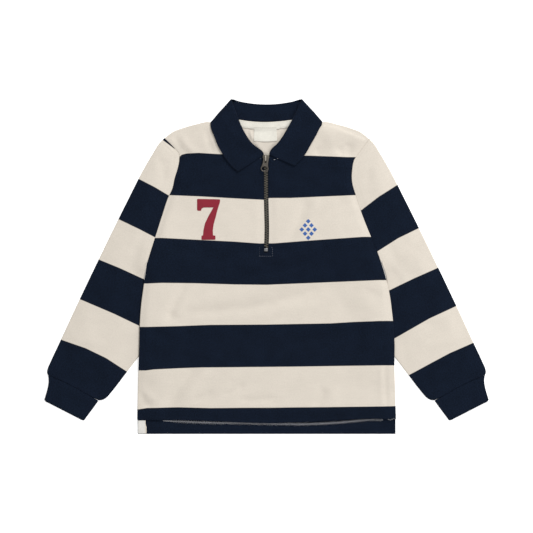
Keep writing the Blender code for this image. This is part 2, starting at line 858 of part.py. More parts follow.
def collar_stand():
    corner_right, out_right = stand_corner(-1)
    corner_left, out_left = stand_corner(1)
    front_right = spline(neck_front(-1))
    front_left = spline(neck_front(1))
    back = spline(NECK_BACK)
    seam_right = corner_right[0]
    seam_left = corner_left[0]
    edges = (
        beside(lambda u: front_right(1 - u), 1, {0: FRONT_END_RIGHT, 1: seam_right}),
        beside(back, -1, {0: seam_right, 1: seam_left}),
        beside(front_left, 1, {0: seam_left, 1: FRONT_END_LEFT}),
    )
    rolls = (
        spline(moved_in(ROLL_RIGHT, 1.0, 1)[::-1] + [corner_right[1]]),
        spline([corner_right[1]] + [(x, y - 1.0) for x, y in ROLL_BACK] + [corner_left[1]]),
        spline([corner_left[1]] + moved_in(ROLL_LEFT, 1.0, -1)),
    )
    rows = collar_rows(
        edges,
        rolls,
        (corner_right, corner_left),
        (out_right, out_left),
        lambda x, y: (back_floor(x, y) + CLOTH / 2, front_floor(x, y) + CLOTH / 2),
        STAND_SHARES,
        (NECK_FRONT_STEPS, NECK_BACK_STEPS, NECK_FRONT_STEPS),
    )
    return folded_sheet("collar_stand", rows, CLOTH, NAVY)


# Trims.


def rectangle(name, box, floor, thick, colour, cells):
    low_x, high_x, low_y, high_y = box
    xs = np.linspace(low_x, high_x, cells[0] + 1)
    ys = np.linspace(low_y, high_y, cells[1] + 1)
    places = [(x, y) for y in ys for x in xs]
    return laid_sheet(name, places, grid_quads(len(ys), len(xs)), floor, thick, colour)


def neck_tape():
    seam = spline(NECK_BACK)
    places = []
    shares = np.linspace(0.03, 0.97, 11)
    for drop in (NECK_TAPE_WIDTH, NECK_TAPE_WIDTH / 2, GAP):
        for share in shares:
            x, y = seam(share)
            places.append((np.clip(x, -NECK_TAPE_X, NECK_TAPE_X), y - drop))
    quads = grid_quads(3, len(shares))
    return laid_sheet("neck_tape", places, quads, lambda x, y: back_top(x, y) + GAP, TRIM, PALE)


def on_back(x, y):
    return back_top(x, y) + GAP


def labels():
    rectangle("neck_label", LABEL, on_back, TRIM, PALE, (4, 3))
    rectangle("size_tab", SIZE_TAB, lambda x, y: on_back(x, y) + TAPE_STEP, TRIM, PALE, (1, 1))
    rectangle("vent_tape", VENT_TAPE, on_back, TRIM, PALE, (1, 2))


def chain_floor(x, y):
    return back_top(ZIP_X, y) + GAP + TRIM + GAP


def bar(name, box, floor, thick, chamfer, colour, cells, roughness, metallic):
    """A bar along Y with its two upper edges cut back, which follows floor."""
    low_x, high_x, low_y, high_y = box
    section = [
        (low_x, 0.0),
        (high_x, 0.0),
        (high_x, thick - chamfer),
        (high_x - chamfer, thick),
        (low_x + chamfer, thick),
        (low_x, thick - chamfer),
    ]
    points = []
    for y in np.linspace(low_y, high_y, cells + 1):
        points += [(x, y, floor(x, y) + z) for x, z in section]
    count = len(section)
    faces = [tuple(range(count)), tuple(reversed(range(cells * count, (cells + 1) * count)))]
    for cell in range(cells):
        for place in range(count):
            after = (place + 1) % count
            start = cell * count
            end = start + count
            faces.append((start + after, start + place, end + place, end + after))
    return add_object(name, closed_mesh(name, points, faces), colour, roughness, metallic)


def zip_tapes():
    for name, sign in (("zip_tape_right", -1), ("zip_tape_left", 1)):
        near = ZIP_X + sign * GAP / 2
        far = ZIP_X + sign * ZIP_TAPE_WIDTH
        box = (min(near, far), max(near, far), *ZIP_TAPE_Y)
        rectangle(name, box, on_back, TRIM, NAVY, (2, 8))


def zip_metal():
    chain = (ZIP_X - CHAIN_HALF, ZIP_X + CHAIN_HALF, *CHAIN_Y)
    bar("zip_chain", chain, chain_floor, CHAIN_THICK, 0.6, DARK_METAL, 8, 0.4, 1.0)
    stop = (ZIP_X - 2.9, ZIP_X + 2.9, *STOP_Y)
    bar("zip_bottom_stop", stop, chain_floor, CHAIN_THICK + 0.2, 0.7, SILVER, 1, 0.35, 1.0)


def plate(name, outline, low, high):
    """An outline of x, y rows, made into a solid between two heights."""
    count = len(outline)
    points = [(x, y, low) for x, y in outline] + [(x, y, high) for x, y in outline]
    faces = [tuple(reversed(range(count))), tuple(range(count, 2 * count))]
    faces += [(a, (a + 1) % count, count + (a + 1) % count, count + a) for a in range(count)]
    return closed_mesh(name, points, faces)


def ellipse(half_x, half_y, centre_y, count, start=0.0, end=360.0):
    turns = np.radians(np.linspace(start, end, count, endpoint=end - start < 360.0))
    return [(half_x * math.cos(turn), centre_y + half_y * math.sin(turn)) for turn in turns]


def box_mesh(name, low, high):
    outline = [(low[0], low[1]), (high[0], low[1]), (high[0], high[1]), (low[0], high[1])]
    return plate(name, outline, low[2], high[2])


def boolean(target, mesh, operation):
    """Adds or cuts a helper object that isn't part of the shirt."""
    helper = bpy.data.objects.new(target.name + "_" + mesh.name, mesh)
    bpy.context.scene.collection.objects.link(helper)
    helper.hide_render = True
    helper.display_type = "WIRE"
    helper.parent = target
    modifier = target.modifiers.new(mesh.name, "BOOLEAN")
    modifier.operation = operation
    modifier.object = helper


def slider_base():
    """Height of the underside of the slider's plate."""
    return chain_floor(ZIP_X, SLIDER_Y[1]) + CHAIN_THICK + GAP


def pivot_height():
    return slider_base() + SLIDER_PLATE + GAP + PULL_THICK / 2


def zip_slider():
    """A plate over the chain with a flange each side, and the bridge that holds the pull."""
    middle = (SLIDER_Y[0] + SLIDER_Y[1]) / 2
    half = (SLIDER_Y[1] - SLIDER_Y[0]) / 2
    low = slider_base()
    outline = [
        (-3.4, -half),
        (3.4, -half),
        (4.1, -half + 1.0),
        (SLIDER_HALF, 1.0),
        (SLIDER_HALF, half - 1.5),
        (SLIDER_HALF - 1.5, half),
        (1.0, half),
        (0.0, half - 1.2),
        (-1.0, half),
        (-SLIDER_HALF + 1.5, half),
        (-SLIDER_HALF, half - 1.5),
        (-SLIDER_HALF, 1.0),
        (-4.1, -half + 1.0),
    ]
    outline = [(ZIP_X + x, middle + y) for x, y in outline]
    mesh = plate("zip_slider", outline, low - SLIDER_FLANGE, low + SLIDER_PLATE)
    slider = add_object("zip_slider", mesh, DARK_METAL, 0.4, 1.0)
    channel_half = CHAIN_HALF + GAP
    channel_low = (ZIP_X - channel_half, SLIDER_Y[0] - 1.0, low - 1.0)
    channel = box_mesh("channel", channel_low, (ZIP_X + channel_half, SLIDER_Y[1] + 1.0, low))
    top = low + SLIDER_PLATE
    half_width = BAIL_WIDTH / 2
    half_length = BAIL_LENGTH / 2
    arch_low = (ZIP_X - half_width, PIVOT_Y - half_length, top - 0.4)
    arch_high = (ZIP_X + half_width, PIVOT_Y + half_length, top + BAIL_OPENING + BAIL_BAR)
    arch = box_mesh("arch", arch_low, arch_high)
    inside = half_length - 1.2
    opening_low = (ZIP_X - 3.0, PIVOT_Y - inside, top)
    opening = box_mesh("opening", opening_low, (ZIP_X + 3.0, PIVOT_Y + inside, top + BAIL_OPENING))
    boolean(slider, channel, "DIFFERENCE")
    boolean(slider, arch, "UNION")
    boolean(slider, opening, "DIFFERENCE")
    return slider


def zip_pull():
    """A loose pull: a crossbar under the bridge, a slot round it, a neck and a ring."""
    ring = ellipse(PULL_RING_HALF, 4.9, -PULL_LENGTH + 4.9, 13, 150.0, 390.0)
    outline = [(-PULL_NECK_HALF, 0.6), (-PULL_NECK_HALF, -11.2)] + ring
    outline += [(PULL_NECK_HALF, -11.2), (PULL_NECK_HALF, 0.6)]
    mesh = plate("zip_pull", outline, -PULL_THICK / 2, PULL_THICK / 2)
    pull = add_object("zip_pull", mesh, BRASS, 0.4, 1.0)
    half = BAIL_WIDTH / 2 + 0.9
    slot = box_mesh("slot", (-half, -5.4, -2.0), (half, -0.6, 2.0))
    hole = plate("hole", ellipse(*PULL_HOLE, PULL_HOLE_Y, 16), -2.0, 2.0)
    boolean(pull, slot, "DIFFERENCE")
    boolean(pull, hole, "DIFFERENCE")
    pull.location = (MM * ZIP_X, MM * PIVOT_Y, MM * pivot_height())
    pull.rotation_euler = (0.0, 0.0, PULL_YAW)
    return pull


def main():
    for old in list(bpy.data.objects):
        bpy.data.objects.remove(old)
    back_panel()
    front_panel()
    sleeve("sleeve_right", -1, ARMHOLE_RIGHT, UNDERARM_RIGHT)
    sleeve("sleeve_left", 1, ARMHOLE_LEFT, UNDERARM_LEFT)
    cuff("cuff_right", -1)
    cuff("cuff_left", 1)
    collar_leaf()
    collar_stand()
    neck_tape()
    labels()
    zip_tapes()
    zip_metal()
    zip_slider()
    zip_pull()


main()
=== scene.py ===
"""A child's long-sleeve polo shirt with a half zip, laid flat with its front up.

Blender works in metres; the sizes and tables below are in millimetres. X runs across the shirt,
Y from the hem to the collar, and Z up. The wearer's right side is at -X, where sign is -1. Every
piece of cloth is a thin shell that follows the form of its node in the frame, with its creases,
seams and rounded edges added.
"""

import math

import bmesh
import bpy
import numpy as np
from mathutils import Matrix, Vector, noise


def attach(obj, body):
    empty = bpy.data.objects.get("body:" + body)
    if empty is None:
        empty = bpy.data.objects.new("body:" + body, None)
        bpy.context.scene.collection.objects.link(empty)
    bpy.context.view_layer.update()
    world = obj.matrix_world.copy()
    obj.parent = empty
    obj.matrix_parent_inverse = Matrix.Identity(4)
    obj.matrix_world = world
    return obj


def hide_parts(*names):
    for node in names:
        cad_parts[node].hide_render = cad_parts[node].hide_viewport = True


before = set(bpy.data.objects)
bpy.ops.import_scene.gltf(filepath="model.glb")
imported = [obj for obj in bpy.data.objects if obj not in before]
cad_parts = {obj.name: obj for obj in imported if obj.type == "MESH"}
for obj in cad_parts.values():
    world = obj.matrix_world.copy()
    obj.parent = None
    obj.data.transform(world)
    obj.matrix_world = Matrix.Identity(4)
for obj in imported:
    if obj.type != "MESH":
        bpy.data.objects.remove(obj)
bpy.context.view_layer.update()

MM = 0.001
SIDE_NAMES = {-1: "right", 1: "left"}

# Cloth, and the room between pieces.
CLOTH = 1.2
RIB = 1.5
LEAF = 1.5
TRIM = 1.0
GAP = 0.3
EASE = 0.3

# How far the layers are lifted by what lies below them, and how far they puff up.
NECK_STEP = 2.1
TAPE_STEP = TRIM + GAP
SIDE_STEP = 4.0
PUFF = 1.2
SLEEVE_HEIGHT = 3.4
SLEEVE_TUCK = 22.0
SLEEVE_PUFF = 1.6
CUFF_HEIGHT = 4.0
CUFF_PUFF = 0.8
CREASE_ROOM = 0.9

# Where the lifts start and where they are full: over the sleeves, the collar's back, the zip and
# the neck seam.
SLEEVE_ABOVE = (95.0, 10.0)
SLEEVE_BELOW = (-208.0, -153.0)
SLEEVE_INSIDE = (82.0, 27.0)
COLLAR_Y = (160.0, 200.0)
COLLAR_X = (130.0, 90.0)
ZIPPED_X = (32.0, 14.0)
ZIPPED_Y = (-9.0, 11.0)
NECK_Y = (164.0, 204.0)
NECK_X = (105.0, 65.0)
SHOULDER_LINE = ([52.0, 107.0, 160.0], [228.8, 220.0, 197.0])

# The outline: x, y. Side rows run upwards, cross rows towards +X.
SIDE_RIGHT = [
    (-198.4, -165), (-197.8, -147), (-197, -125), (-196.1, -88.6), (-193.8, -57.6), (-190.7, -34.3),
    (-185.1, 4.8),
]
SIDE_LEFT = [
    (198.4, -165), (198, -147), (198.2, -120), (194.5, -73.1), (190.3, -42.1), (182.7, -11.1),
    (177.5, 6),
]
ARMHOLE_RIGHT = [
    (-185.1, 4.8), (-180.6, 19.9), (-170.7, 50.9), (-160.9, 81.9), (-153.1, 105.2), (-146, 120.7),
    (-142.6, 136.2), (-137.8, 151.7), (-135.4, 164.5), (-135.6, 173.8), (-143.6, 183.7),
    (-158.4, 198.4),
]
ARMHOLE_LEFT = [
    (177.5, 6), (172.7, 19.9), (159.8, 50.9), (147.7, 81.9), (137.5, 112.9), (133.2, 128),
    (132.3, 138), (133, 149), (135.8, 164.1), (145.7, 178.6), (159.4, 197.4),
]
SHOULDER = [
    (158.4, 198.4), (145.1, 208.2), (129, 214.5), (107.3, 220.4), (91, 223.7), (85.5, 223.2),
    (70, 226), (52, 228.8),
]
HEM_SIDE = (199.5, -195.0)
HEM_CORNER = (199.4, -260.0)
FRONT_HEM = [
    (-200.2, -237.6), (-110, -238.6), (-60, -240.8), (0.7, -242.7), (60, -240.8), (98, -238.6),
    (150, -236), (200.6, -236.6),
]
BACK_HEM = [(-199.4, -259.7), (0, -259.7), (200, -259.7)]
NECK_BACK = [
    (-52, 228.8), (-38, 226.4), (-25.6, 224.7), (0, 223.5), (25.6, 225.2), (38, 226.7), (52, 228.8),
]
NECK_FRONT = [(52, 228.8), (46, 216), (37, 202), (26, 187), (14.5, 175.5), (4.3, 168.5)]
HALF_WIDTH = 200.0
HALF_LENGTH = 240.0

# The front's hem and how much thicker each hem is, and the top of the side vents.
HEM_DEPTH = 18.5
HEM_THICK = 0.7
BACK_HEM_THICK = 0.25
VENT_TOP = -238.0

# The collar: its folded corners, the roll line and the free edge of the leaf.
CORNER_ROLL = (54.8, 259.2)
CORNER_EDGES = {-1: (-87.2, 222.4), 1: (86.6, 223.9)}
STAND_CORNER = [(50.2, 230.0), (50.4, 254.6)]
FRONT_ENDS = {-1: (-3.6, 169.3), 1: (3.6, 170.2)}
ROLL_BACK = [(-46.5, 257), (-25, 252.6), (0, 250.9), (25, 252.6), (46.5, 257)]
EDGE_BACK = [(-60, 209.5), (-30, 203.5), (0, 202), (30, 203.5), (60, 209.5)]
ROLL_RIGHT = [
    (-43.6, 228.9), (-37.9, 215), (-29.4, 200), (-22.1, 190.4), (-10.2, 181.2), (-5.4, 177.2),
    (-3.9, 173),
]
ROLL_LEFT = [
    (40.5, 228.9), (33.9, 216.6), (24.8, 200.8), (17.3, 190.9), (6.7, 180.3), (5, 177.2),
    (4.2, 173.4),
]
EDGE_RIGHT = [
    (-85.8, 213.9), (-80.8, 200.5), (-74.3, 184.6), (-67.5, 172.8), (-55.9, 157.2), (-44.3, 146.4),
]
EDGE_LEFT = [
    (82.4, 213.9), (77.7, 204.6), (68.5, 188.3), (59.7, 173.2), (51.3, 162.9), (43.6, 155.4),
]
STAND_INSET = 1.6
LEAF_LENGTH = 48.0
LEAF_SLANT = (3.0, 2.0, 2.5)
LEAF_LIFT = 1.5
STAND_LENGTH = 26.0
FREE_EDGE = 0.9

# The sleeve and the cuff, on the +X side.
SLEEVE_OUTER = [
    (167.6, 188.6), (174.8, 176.9), (189.4, 152.1), (214.8, 102.5), (239.4, 52.9), (263.5, 3.3),
    (287.2, -46.3), (310.4, -95.9), (321.8, -120.7), (334.8, -148.6), (339.2, -159.1),
    (340, -164.1), (338.4, -168.4),
]
UNDERARMS = {
    -1: [(-187.6, -8.0), (-189.2, -18.0), (-188.6, -29.0)],
    1: [(182.6, -8.0), (185.3, -18.0), (186.4, -29.0)],
}
SLEEVE_INNER = [
    (181, -50), (177, -75), (178.5, -100), (186.8, -125), (204, -147.5), (221.6, -170.7),
    (240.8, -195.5), (246.2, -201.7), (250.6, -205.2), (255, -207), (259.8, -207.2),
]
CUFF_SEAM = [
    (338.4, -168.4), (324, -173.8), (309.6, -180.2), (292.6, -189.1), (276, -198.6),
    (259.8, -207.2),
]
CUFF_OUTER = [
    (338.2, -169), (337.4, -174.5), (337.6, -181), (339.9, -192.4), (342.4, -201), (343.9, -206.2),
]
CUFF_INNER = [(260.8, -208.8), (266, -216.2), (276, -229.6), (282.2, -238)]
CUFF_END = [
    (343.9, -206.2), (342.2, -208.4), (336, -211.6), (313.6, -223.1), (290.6, -234.9),
    (285.4, -237.5), (282.2, -238),
]
CUFF_LENGTH = 44.0
CUFF_ROUND = 1.2

# The half zip.
ZIP_X = -0.8
ZIP_LINE = [(-0.8, 20), (-0.4, 31), (0.3, 43), (0.5, 62), (-0.1, 86), (-0.5, 101), (-0.8, 141)]
SLIT_HALF = 3.5
SLIT_END_Y = 20.5
ZIP_TAPE_WIDTH = 11.0
ZIP_TAPE_Y = (13.0, 166.0)
CHAIN_HALF = 3.0
CHAIN_THICK = 2.0
CHAIN_Y = (28.2, 168.0)
TOOTH_PITCH = 3.75
# How far up the chain each side's first tooth is.
TOOTH_STARTS = {-1: 3.75, 1: 1.88}
# A tooth on the +X side, x, y, and its levels: height above the tape and size.
TOOTH = [(CHAIN_HALF, -1.0), (0.9, -1.0), (-0.5, -0.85), (-0.5, 0.85), (0.9, 1.0), (CHAIN_HALF, 1.0)]
TOOTH_LEVELS = [(0.1, 0.75), (0.5, 1.0), (1.5, 1.0), (1.85, 0.85)]
STOP_Y = (23.3, 28.2)
STOP_HALF = 2.9
SLIDER_Y = (160.6, 172.6)
SLIDER_HALF = 4.9
SLIDER_PLATE = 1.0
SLIDER_FLANGE = 0.5
BAIL_WIDTH = 1.8
BAIL_X = -1.4
BAIL_LENGTH = 8.6
BAIL_HEIGHT = 3.3
BAIL_Y = 167.2
PIVOT_Y = 165.9
PULL_YAW = math.radians(-7.9)
PULL_THICK = 1.2
PULL_RING = (6.1, 5.0)
PULL_HOLE = (4.4, 3.6)
PULL_HOLE_Y = -15.1
# One edge of the pull from its top to its ring, x, y from the pivot, and its slot: low and high y.
PULL_SIDE = [(3.9, 0.6), (4.1, 0.1), (4.1, -6.0), (4.4, -8.6), (4.9, -10.8)]
PULL_SLOT = (-6.2, -0.6)

# Small pieces that lie on the back panel: low x, high x, low y, high y.
LABEL = (-19.2, 15.7, 194.2, 213.4)
SIZE_TAB = (14.6, 20.2, 212.6, 217.2)
VENT_TAPE = (-199.0, -188.2, -259.0, -238.6)
NECK_TAPE_WIDTH = 11.4
NECK_TAPE_THICK = 0.7
LABEL_THICK = 0.6

# The looper threads that cover the back hem's raw edge: their middle, x, y, and then for each
# strand its swing, phase and pitch.
COVERSTITCH = [
    (-160.4, -239.2), (-148, -239.7), (-123.2, -240.7), (-98.4, -241.9), (-73.6, -242.4),
    (-36.4, -242.7), (-11.6, -243.8), (25.6, -244.2), (56.6, -244.5), (87.6, -243.6), (112.4, -242),
    (137.2, -239.7), (162, -237.4), (180.6, -237.9),
]
STRANDS = [(1, 0, 4), (1, 2.1, 4), (0.75, 1, 3), (0, 0, 1), (0.85, 0.4, 5), (0.6, 1.3, 3.5), (0.95, 3, 6)]
COVER_HALF = 2.7
COVER_THREAD = 0.2

# The box sewn round the zip's lower end: low x, high x, low y, high y.
ZIP_BOX = (-11.0, 9.3, 15.6, 29.6)

# Where the stripes change, from the yoke down, one list of x, y points a change. The first colour
# is ecru, and they take turns.
BODY_STRIPES = [
    [(-135, 169.4), (-131, 173), (-124, 174.7), (-105, 175.6), (-74, 173.7), (74, 171.1), (124, 169.1)],
    [(-149, 110.2), (-99, 108), (-50, 105.2), (-4, 102.9), (5, 105.8), (37, 105.8), (136, 110.2)],
    [(-161, 44), (-112, 41.4), (-50, 38.3), (-12, 35.5), (12, 35.6), (62, 39.6), (149, 45.7)],
    [(-186, -26.7), (-161, -25.6), (-112, -26.2), (-50, -28.1), (0, -28.6), (87, -25.1), (174, -21.4)],
    [(-186, -93.6), (-136, -92.4), (-87, -90.5), (0, -90), (99, -88.2), (136, -85.9), (174, -84.3)],
    [(-186, -161.1), (-174, -159.4), (-136, -157.8), (-99, -156.6), (50, -155.2), (174, -153.2)],
    [(-198, -221.3), (-186, -219.3), (-136, -218), (-87, -219.3), (50, -218.2), (198, -216.4)],
]
SLEEVE_STRIPES = {
    -1: [
        [(-161.5, 196), (-150, 187.5), (-143.8, 183)],
        [(-196.9, 135), (-173.3, 122.8), (-151.6, 109.9)],
        [(-228.8, 72.8), (-198.3, 58.2), (-168.9, 42.9)],
        [(-258.9, 10.3), (-227.6, -2.4), (-188.8, -20.3)],
        [(-288.2, -51.2), (-237.2, -72.9), (-196, -92.7)],
        [(-317.5, -113.7), (-279.8, -126.5), (-248, -142), (-215.6, -163.3)],
    ],
    1: [
        [(175, 215), (140, 200)],
        [(202.8, 126.2), (173.3, 107.4), (147, 87)],
        [(235.5, 58.9), (203.6, 43.4), (171.2, 22.7)],
        [(267.1, -1.4), (229.7, -17.9), (189.6, -37.3)],
        [(296, -60.5), (252.4, -80.6), (198.3, -111.7)],
        [(322.9, -117.1), (283.4, -134.2), (254.4, -149.7), (219, -169.1)],
    ],
}
STRIPE = 66.0
SLEEVE_RUN = (0.45, -0.893)

# Soft folds of the solids: x0, y0, x1, y1, bend, half width, height.
FRONT_FOLDS = [
    (-150, -86, 20, -46, 0, 22, 1.4),
    (-20, -14, 130, 30, 0, 20, 1.6),
    (-165, 40, -95, -10, 0, 16, 1.3),
    (168, 30, 100, -40, 0, 18, 1.5),
    (-120, -205, -40, -150, 0, 20, 1),
    (60, -190, 150, -150, 0, 22, 1.1),
    (96, 205, 118, 140, 0, 12, 1.2),
]
SLEEVE_FOLDS = [
    (190, 120, 205, 40, 0, 14, 1.6),
    (215, 30, 262, -30, 0, 15, 1.3),
    (290, -70, 262, -140, 0, 14, 1.4),
    (325, -140, 285, -165, 0, 10, 1.2),
]

# Creases that the shells add: x0, y0, x1, y1, bend, half width, height.
FRONT_CREASES = [
    (-118, -72, 86, -34, 8.5, 8.5, -2),
    (-120, -52, 70, -12, 8, 10, 0.9),
    (-60, -80, 110, -48, 6, 9, 0.6),
    (-124, -24, -152, -84, 3, 8, -1.9),
    (-110, -30, -140, -80, 3, 7, 0.9),
    (-152, -74, -134, -82, 1, 6, -1.3),
    (96, -28, 146, -84, 4, 10, -0.5),
    (150, -36, 178, -46, 2, 7, -0.9),
    (60, 105, 34, 42, -4, 8, -1.7),
    (78, 104, 52, 52, -4, 8, 1.1),
    (122, 106, 58, 66, -4, 9, -1.3),
    (80, 214, 150, 198, -4, 9, 1.7),
    (76, 180, 136, 176, -4, 13, -2.2),
    (78, 182, 84, 172, 1, 4, -1.3),
    (112, 184, 118, 174, 1, 4, -1.2),
    (126, 188, 130, 172, 1, 4, -1.3),
    (-142, 200, -120, 172, 3, 6, -1.6),
    (-130, 200, -108, 174, 3, 6, 1),
    (-92, 210, -82, 176, 2, 5, -1.2),
    (-26, -14, 88, 20, 8, 7, -2.1),
    (10, -28, 130, 2, 6, 10, 0.9),
    (-20, 8, 96, 36, 6, 9, 0.8),
    (-108, -154, -154, -214, 3, 10, -2.4),
    (-90, -160, -132, -212, 3, 8, 1.1),
    (-182, -176, -196, -214, 2, 8, -1.2),
    (-200, -200, -178, -218, 2, 6, -2),
    (-192, -190, -170, -206, 2, 5, 0.9),
    (76, -216, 88, -190, 2, 7, -1.7),
    (90, -222, 108, -186, 2, 7, 0.9),
    (-112, -208, -84, -196, 1, 5, -1.4),
    (-66, -200, -36, -182, 2, 5, -1.4),
    (-40, -206, 16, -204, 2, 5, -1.3),
    (20, -196, 52, -166, 2, 6, -0.8),
    (-150, 30, -40, -4, -5, 9, -1.2),
    (150, 96, 90, 60, 4, 8, 0.9),
    (180, -60, 150, -130, 4, 8, 1.1),
    (-176, -100, -120, -124, 4, 8, -1.2),
    (184, -150, 187, -222, 1, 3.5, -1.3),
    (177, -146, 180, -216, 1, 4, 0.8),
    (-150, -120, -60, -140, 4, 9, 0.9),
    (30, -120, 150, -104, -4, 9, -1.1),
    (60, -224, 184, -222, 0, 28, 1.4),
]
BACK_CREASES = [
    (-26, 210, -14, 178, 2, 4, -0.8),
    (-20, 208, -6, 176, 2, 5, 0.7),
    (-25.2, 209, -22.2, 197, 0.5, 2.2, 1.8),
    (-28.2, 208, -25.2, 197, 0.5, 2.2, -0.6),
]
LEAF_CREASES = [
    (-72, 238, -46, 198, 2, 5, 0.9),
    (-50, 196, -20, 172, 2, 5, -0.6),
    (26, 194, 72, 236, -2, 5, 0.9),
    (14, 178, 46, 204, 0, 5, -0.6),
]
SLEEVE_CREASES = [
    (168, 172, 158, 128, 3, 7, -0.7),
    (176, 170, 170, 120, 3, 8, 0.4),
    (186, 150, 180, 96, 3, 9, 0.5),
    (200, 60, 236, 20, 3, 8, -0.6),
    (196, 0, 240, -46, 3, 8, 0.6),
    (214, -60, 266, -96, 3, 9, -0.6),
    (240, -120, 300, -110, 3, 8, 0.5),
    (262, -160, 312, -150, 3, 7, -0.7),
    (252, -172, 262, -200, 2, 5, -0.8),
    (270, -186, 300, -160, 2, 6, 0.6),
    (300, -170, 322, -150, 2, 5, -0.5),
    (284, -182, 296, -150, 2, 5, -0.5),
]

# Rows and columns, as shares of a curve's length, the steps between them in millimetres, and the
# lengths that they divide.
NECK_COLUMN = 0.64
BACK_NECK_COLUMN = 0.36
BACK_COLUMNS = [0.421, 0.425, 0.429, 0.433, 0.437, 0.441]
UNDERARM_ROW = 0.5
CENTRE_UNDERARM_Y = 5.0
UNDERARM_SHARE = 0.43
FRONT_STEPS = [0.2, 0.4, 0.6, 0.8]
BACK_STEPS = [0.125, 0.25, 0.375, 0.5, 0.625, 0.75, 0.875]
SPACING = 3.0
COLLAR_SPACING = 2.4
CUFF_SPACING = 2.0
SLEEVE_WIDTH = 120.0
SLEEVE_LENGTH = 235.0
ARMHOLE_LENGTH = 250.0
CUFF_WIDTH = 90.0

# The finer rows at an edge, as parts of its rim: the rim at a raw edge, at a seam and at the
# sleeve's end.
RIM = [0.0, 0.13, 0.35, 0.65, 1.0]
CUT_RIM = 0.7
SEAM_RIM = 1.4
END_RIM = 1.2

# Rounded edges: the radius at a seam, the least thickness there, and the turns of the folds.
SEAM_ROUND = 1.35
LEAST_THICK = 0.1
FOLD_TURNS = np.radians(range(18, 163, 18))
COLLAR_TURNS = np.radians([75, 50, 25, 0, -25, -50, -75])
ROLL_TURNS = np.radians([66, 42, 18, 0, -18, -42, -66, -90])

# Colours: red, green, blue, each linear.
ECRU = (0.560, 0.512, 0.447)
NAVY = (0.0036, 0.0068, 0.0148)
FLOOR = (0.90, 0.90, 0.90)
WHITE = (1.0, 1.0, 1.0)

# The knit's courses and the cuff's ribs, in metres, and the depth of all bumps.
COURSE = 0.0011
CUFF_RIB = 0.0021
BUMP_DEPTH = 0.0003

# Plain materials: colour, roughness, metallic, specular, grain and bump.
PLAIN = {
    "woven_tape": ((0.585, 0.565, 0.505), 0.85, 0.0, 0.3, 900.0, 0.1),
    "label_cloth": ((0.60, 0.58, 0.52), 0.85, 0.0, 0.3, 900.0, 0.1),
    "vent_tape_cloth": ((0.565, 0.55, 0.52), 0.85, 0.0, 0.3, 900.0, 0.1),
    "zip_tape_cloth": (NAVY, 0.85, 0.0, 0.3, 900.0, 0.1),
    "white_thread": ((0.50, 0.50, 0.52), 0.85, 0.0, 0.3, 2500.0, 0.1),
    "ecru_thread": (ECRU, 0.85, 0.0, 0.3, 2500.0, 0.1),
    "worn_thread": ((0.16, 0.17, 0.20), 0.85, 0.0, 0.3, 2500.0, 0.1),
    "looper_thread": ((0.37, 0.375, 0.40), 0.85, 0.0, 0.3, 2500.0, 0.1),
    "tape_thread": ((0.36, 0.345, 0.31), 0.85, 0.0, 0.3, 2500.0, 0.1),
    "gunmetal": ((0.150, 0.139, 0.117), 0.42, 1.0, 0.5, 1500.0, 0.15),
    # A lighter copy of the gunmetal: a painted highlight on the slider's bridge.
    "gunmetal_painted_highlight": ((0.38, 0.345, 0.30), 0.6, 1.0, 0.5, 1500.0, 0.15),
    "antique_brass": ((0.134, 0.120, 0.105), 0.38, 1.0, 0.5, 1200.0, 0.12),
    "silver_metal": ((0.26, 0.26, 0.26), 0.35, 1.0, 0.5, 1500.0, 0.1),
    "red_flock": ((0.20, 0.018, 0.030), 0.95, 0.0, 0.15, 1400.0, 0.3),
    "blue_print": ((0.045, 0.105, 0.30), 0.9, 0.0, 0.15, 1400.0, 0.2),
}

# Every piece: its material and the node that it stands for, if it does.
PIECES = {
    "front_cloth": ("striped_knit", "front_panel"),
    "back_cloth": ("striped_knit", "back_panel"),
    "sleeve_right_cloth": ("striped_knit", "sleeve_right"),
    "sleeve_left_cloth": ("striped_knit", "sleeve_left"),
    "armhole_seam_right": ("striped_knit",),
    "armhole_seam_left": ("striped_knit",),
    "cuff_right_rib": ("rib_knit", "cuff_right"),
    "cuff_left_rib": ("rib_knit", "cuff_left"),
    "cuff_seam_right": ("rib_knit",),
    "cuff_seam_left": ("rib_knit",),
    "collar_leaf_cloth": ("collar_knit", "collar_leaf"),
    "collar_stand_cloth": ("collar_knit", "collar_stand"),
    "neck_tape_woven": ("woven_tape", "neck_tape"),
    "neck_tape_stitches": ("tape_thread",),
    "back_neck_stitches": ("tape_thread",),
    "neck_label_woven": ("label_cloth", "neck_label"),
    "label_stitches": ("tape_thread",),
    "size_tab_woven": ("label_cloth", "size_tab"),
    "vent_tape_woven": ("vent_tape_cloth", "vent_tape"),
    "vent_fold": ("ecru_thread",),
    "coverstitch_threads": ("looper_thread",),
    "zip_box_stitches": ("worn_thread",),
    "zip_box_worn_stitches": ("worn_thread",),
    "collar_end_stitches": ("white_thread",),
    "collar_end_tacks": ("worn_thread",),
    "front_hem_stitches": ("ecru_thread",),
    "vent_end_stitches": ("white_thread",),
    "figure_seven": ("red_flock",),
    "lozenge_group": ("blue_print",),
    "zip_teeth": ("gunmetal", "zip_chain"),
    "zip_tape_right_woven": ("zip_tape_cloth", "zip_tape_right"),
    "zip_tape_left_woven": ("zip_tape_cloth", "zip_tape_left"),
    "zip_slider_metal": ("gunmetal", "zip_slider"),
    "zip_slider_bridge": ("gunmetal_painted_highlight",),
    "zip_pull_metal": ("antique_brass", "zip_pull"),
    "zip_bottom_stop_metal": ("silver_metal", "zip_bottom_stop"),
}

